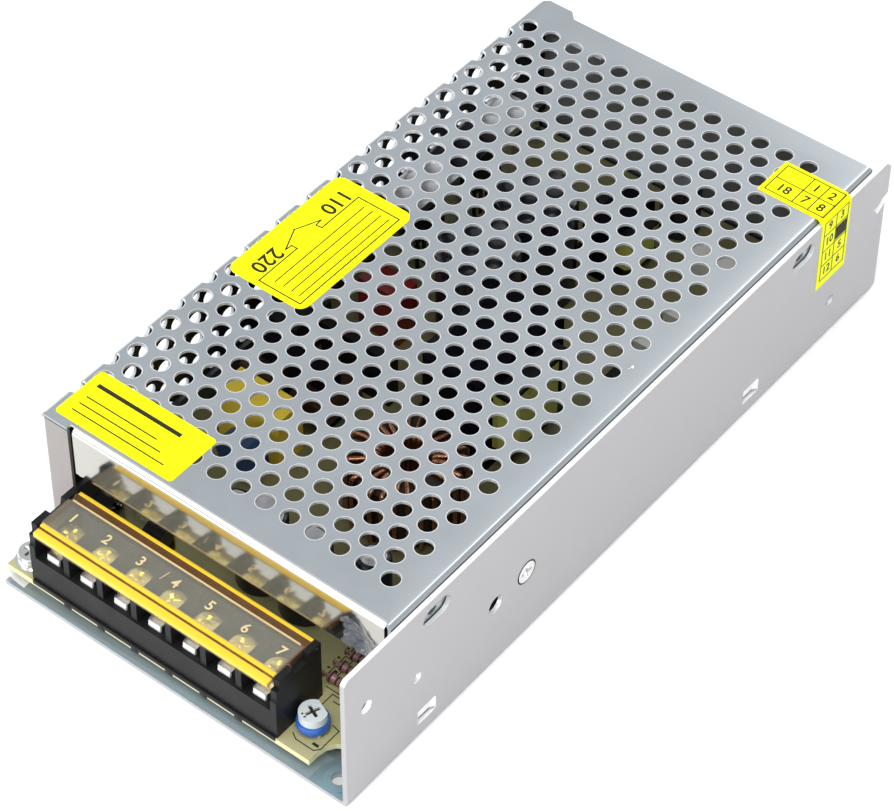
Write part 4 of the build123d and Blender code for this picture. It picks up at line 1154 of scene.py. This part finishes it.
    def silkscreen(self):
        """Outlines printed on the board at its front right corner."""
        bm = bmesh.new()
        height = BOARD_TOP + 0.015
        for x, y in ((27.2, -76.9), (27.2, -73.5), (27.2, -70.3)):
            loop = [(x - 1, y - 1.2), (x + 1, y - 1.2), (x + 1, y + 1.2), (x - 1, y + 1.2)]
            line(bm, loop, 0.25, height, closed=True)
            line(bm, [(x - 0.2, y), (x + 0.2, y)], 0.6, height)
            line(bm, [(x - 2.0, y), (x - 1.9, y)], 0.5, height)
        ring = [(30.7, -95.1), (32.2, -96.0), (37.0, -96.0), (38.0, -94.8), (38.0, -88.8), (36.0, -88.4)]
        line(bm, ring, 0.25, height)
        hook = [(30.6, -86.2), (30.6, -82.0), (33.5, -82.0), (33.5, -83.4), (32.0, -83.4)]
        line(bm, hook, 0.25, height)
        line(bm, [(28.2, -81.2), (34.0, -81.2)], 0.25, height)
        line(bm, [(36.0, -94.6), (36.9, -94.6)], 0.7, height)
        piece("board_print", bm, ink())


class SUPPLY_OT_stage(bpy.types.Operator):
    """Places the floor, the sky and the lamps"""

    bl_idname = "supply.stage"
    bl_label = "Stage"

    def execute(self, context):
        bm = bmesh.new()
        block(bm, (-3000, -3000, -2.05), (3000, 3000, -0.05))
        floor = placed("floor", in_metres("floor", bm))
        floor.data.materials.append(finish("pale floor", (0.82, 0.82, 0.82), 0.9, grain=0.01, scale=2))
        self.world(context)
        self.lamp("key lamp", (0.5, -0.6, 1.5), 21, 0.9)
        self.lamp("fill lamp", (-0.9, -0.6, 0.9), 8, 1.2)
        self.lamp("rear lamp", (0.1, 1.2, 1.1), 8, 1.0)
        self.lamp("front lamp", (-0.25, -1.2, 0.4), 7, 0.5)
        return {"FINISHED"}

    def world(self, context):
        """A light sky that the camera sees as white."""
        world = bpy.data.worlds.new("studio")
        world.use_nodes = True
        tree = world.node_tree
        tree.nodes.clear()
        sky = add(tree, "ShaderNodeBackground", {"Color": (0.8, 0.82, 0.85, 1), "Strength": 0.75})
        white = add(tree, "ShaderNodeBackground", {"Color": (1, 1, 1, 1)})
        seen = add(tree, "ShaderNodeLightPath").outputs["Is Camera Ray"]
        mix = add(tree, "ShaderNodeMixShader", {0: seen, 1: sky.outputs[0], 2: white.outputs[0]})
        add(tree, "ShaderNodeOutputWorld", {0: mix.outputs[0]})
        context.scene.world = world

    def lamp(self, name, place, power, size):
        """A square soft lamp that faces the object."""
        data = bpy.data.lights.new(name, "AREA")
        data.energy = power
        data.size = size
        made = placed(name, data)
        made.location = place
        made.rotation_euler = (Vector((0, 0, 0.02)) - Vector(place)).to_track_quat("-Z", "Y").to_euler()


class SUPPLY_PT_panel(bpy.types.Panel):
    """Sidebar panel of the power supply"""

    bl_label = "Power supply"
    bl_idname = "SUPPLY_PT_panel"
    bl_space_type = "VIEW_3D"
    bl_region_type = "UI"
    bl_category = "Power supply"

    def draw(self, context):
        settings = context.scene.supply_cover
        for name in ("columns", "rows", "column_pitch", "row_pitch", "hole", "hole_steps"):
            self.layout.prop(settings, name)
        for operator in STEPS:
            self.layout.operator(operator.bl_idname)


STEPS = (
    SUPPLY_OT_cover,
    SUPPLY_OT_base,
    SUPPLY_OT_terminals,
    SUPPLY_OT_labels,
    SUPPLY_OT_inside,
    SUPPLY_OT_stage,
)
CLASSES = (CoverSettings, *STEPS, SUPPLY_PT_panel)


# The camera fitted to the reference, in pixels and millimetres, with the cover's height held
PICTURE_WIDTH, PICTURE_MIDDLE, OPTICAL_CENTRE = 894, (447.0, 405.5), (378.711, 331.961)
CAMERA_LENS, CAMERA_PLACE = 133.4226, (321.0254, -413.3762, 557.8568)


def add_camera():
    """A camera that sees the part as the reference does."""
    data = bpy.data.cameras.new("camera")
    data.sensor_width = 36.0
    data.lens = CAMERA_LENS
    data.shift_x = (PICTURE_MIDDLE[0] - OPTICAL_CENTRE[0]) / PICTURE_WIDTH
    data.shift_y = (OPTICAL_CENTRE[1] - PICTURE_MIDDLE[1]) / PICTURE_WIDTH
    data.clip_start = 0.01
    data.clip_end = 20.0
    made = placed("camera", data)
    right = Vector((0.77457719, 0.63239654, -0.01023692))
    up = -Vector((0.4428746, -0.55385843, -0.70505526))
    behind = -Vector((-0.45154431, 0.54158605, -0.70907848))
    place = Matrix((right, up, behind)).transposed().to_4x4()
    place.translation = Vector(CAMERA_PLACE) * MM
    made.matrix_world = place
    bpy.context.scene.camera = made


def register():
    for cls in CLASSES:
        bpy.utils.register_class(cls)
    bpy.types.Scene.supply_cover = bpy.props.PointerProperty(type=CoverSettings)


def unregister():
    del bpy.types.Scene.supply_cover
    for cls in reversed(CLASSES):
        bpy.utils.unregister_class(cls)


def main():
    """Camera first, then every step."""
    register()
    add_camera()
    bpy.ops.supply.cover()
    bpy.ops.supply.base()
    bpy.ops.supply.terminals()
    bpy.ops.supply.labels()
    bpy.ops.supply.inside()
    bpy.ops.supply.stage()
    bpy.context.scene.view_settings.view_transform = "Standard"


if __name__ == "__main__":
    main()
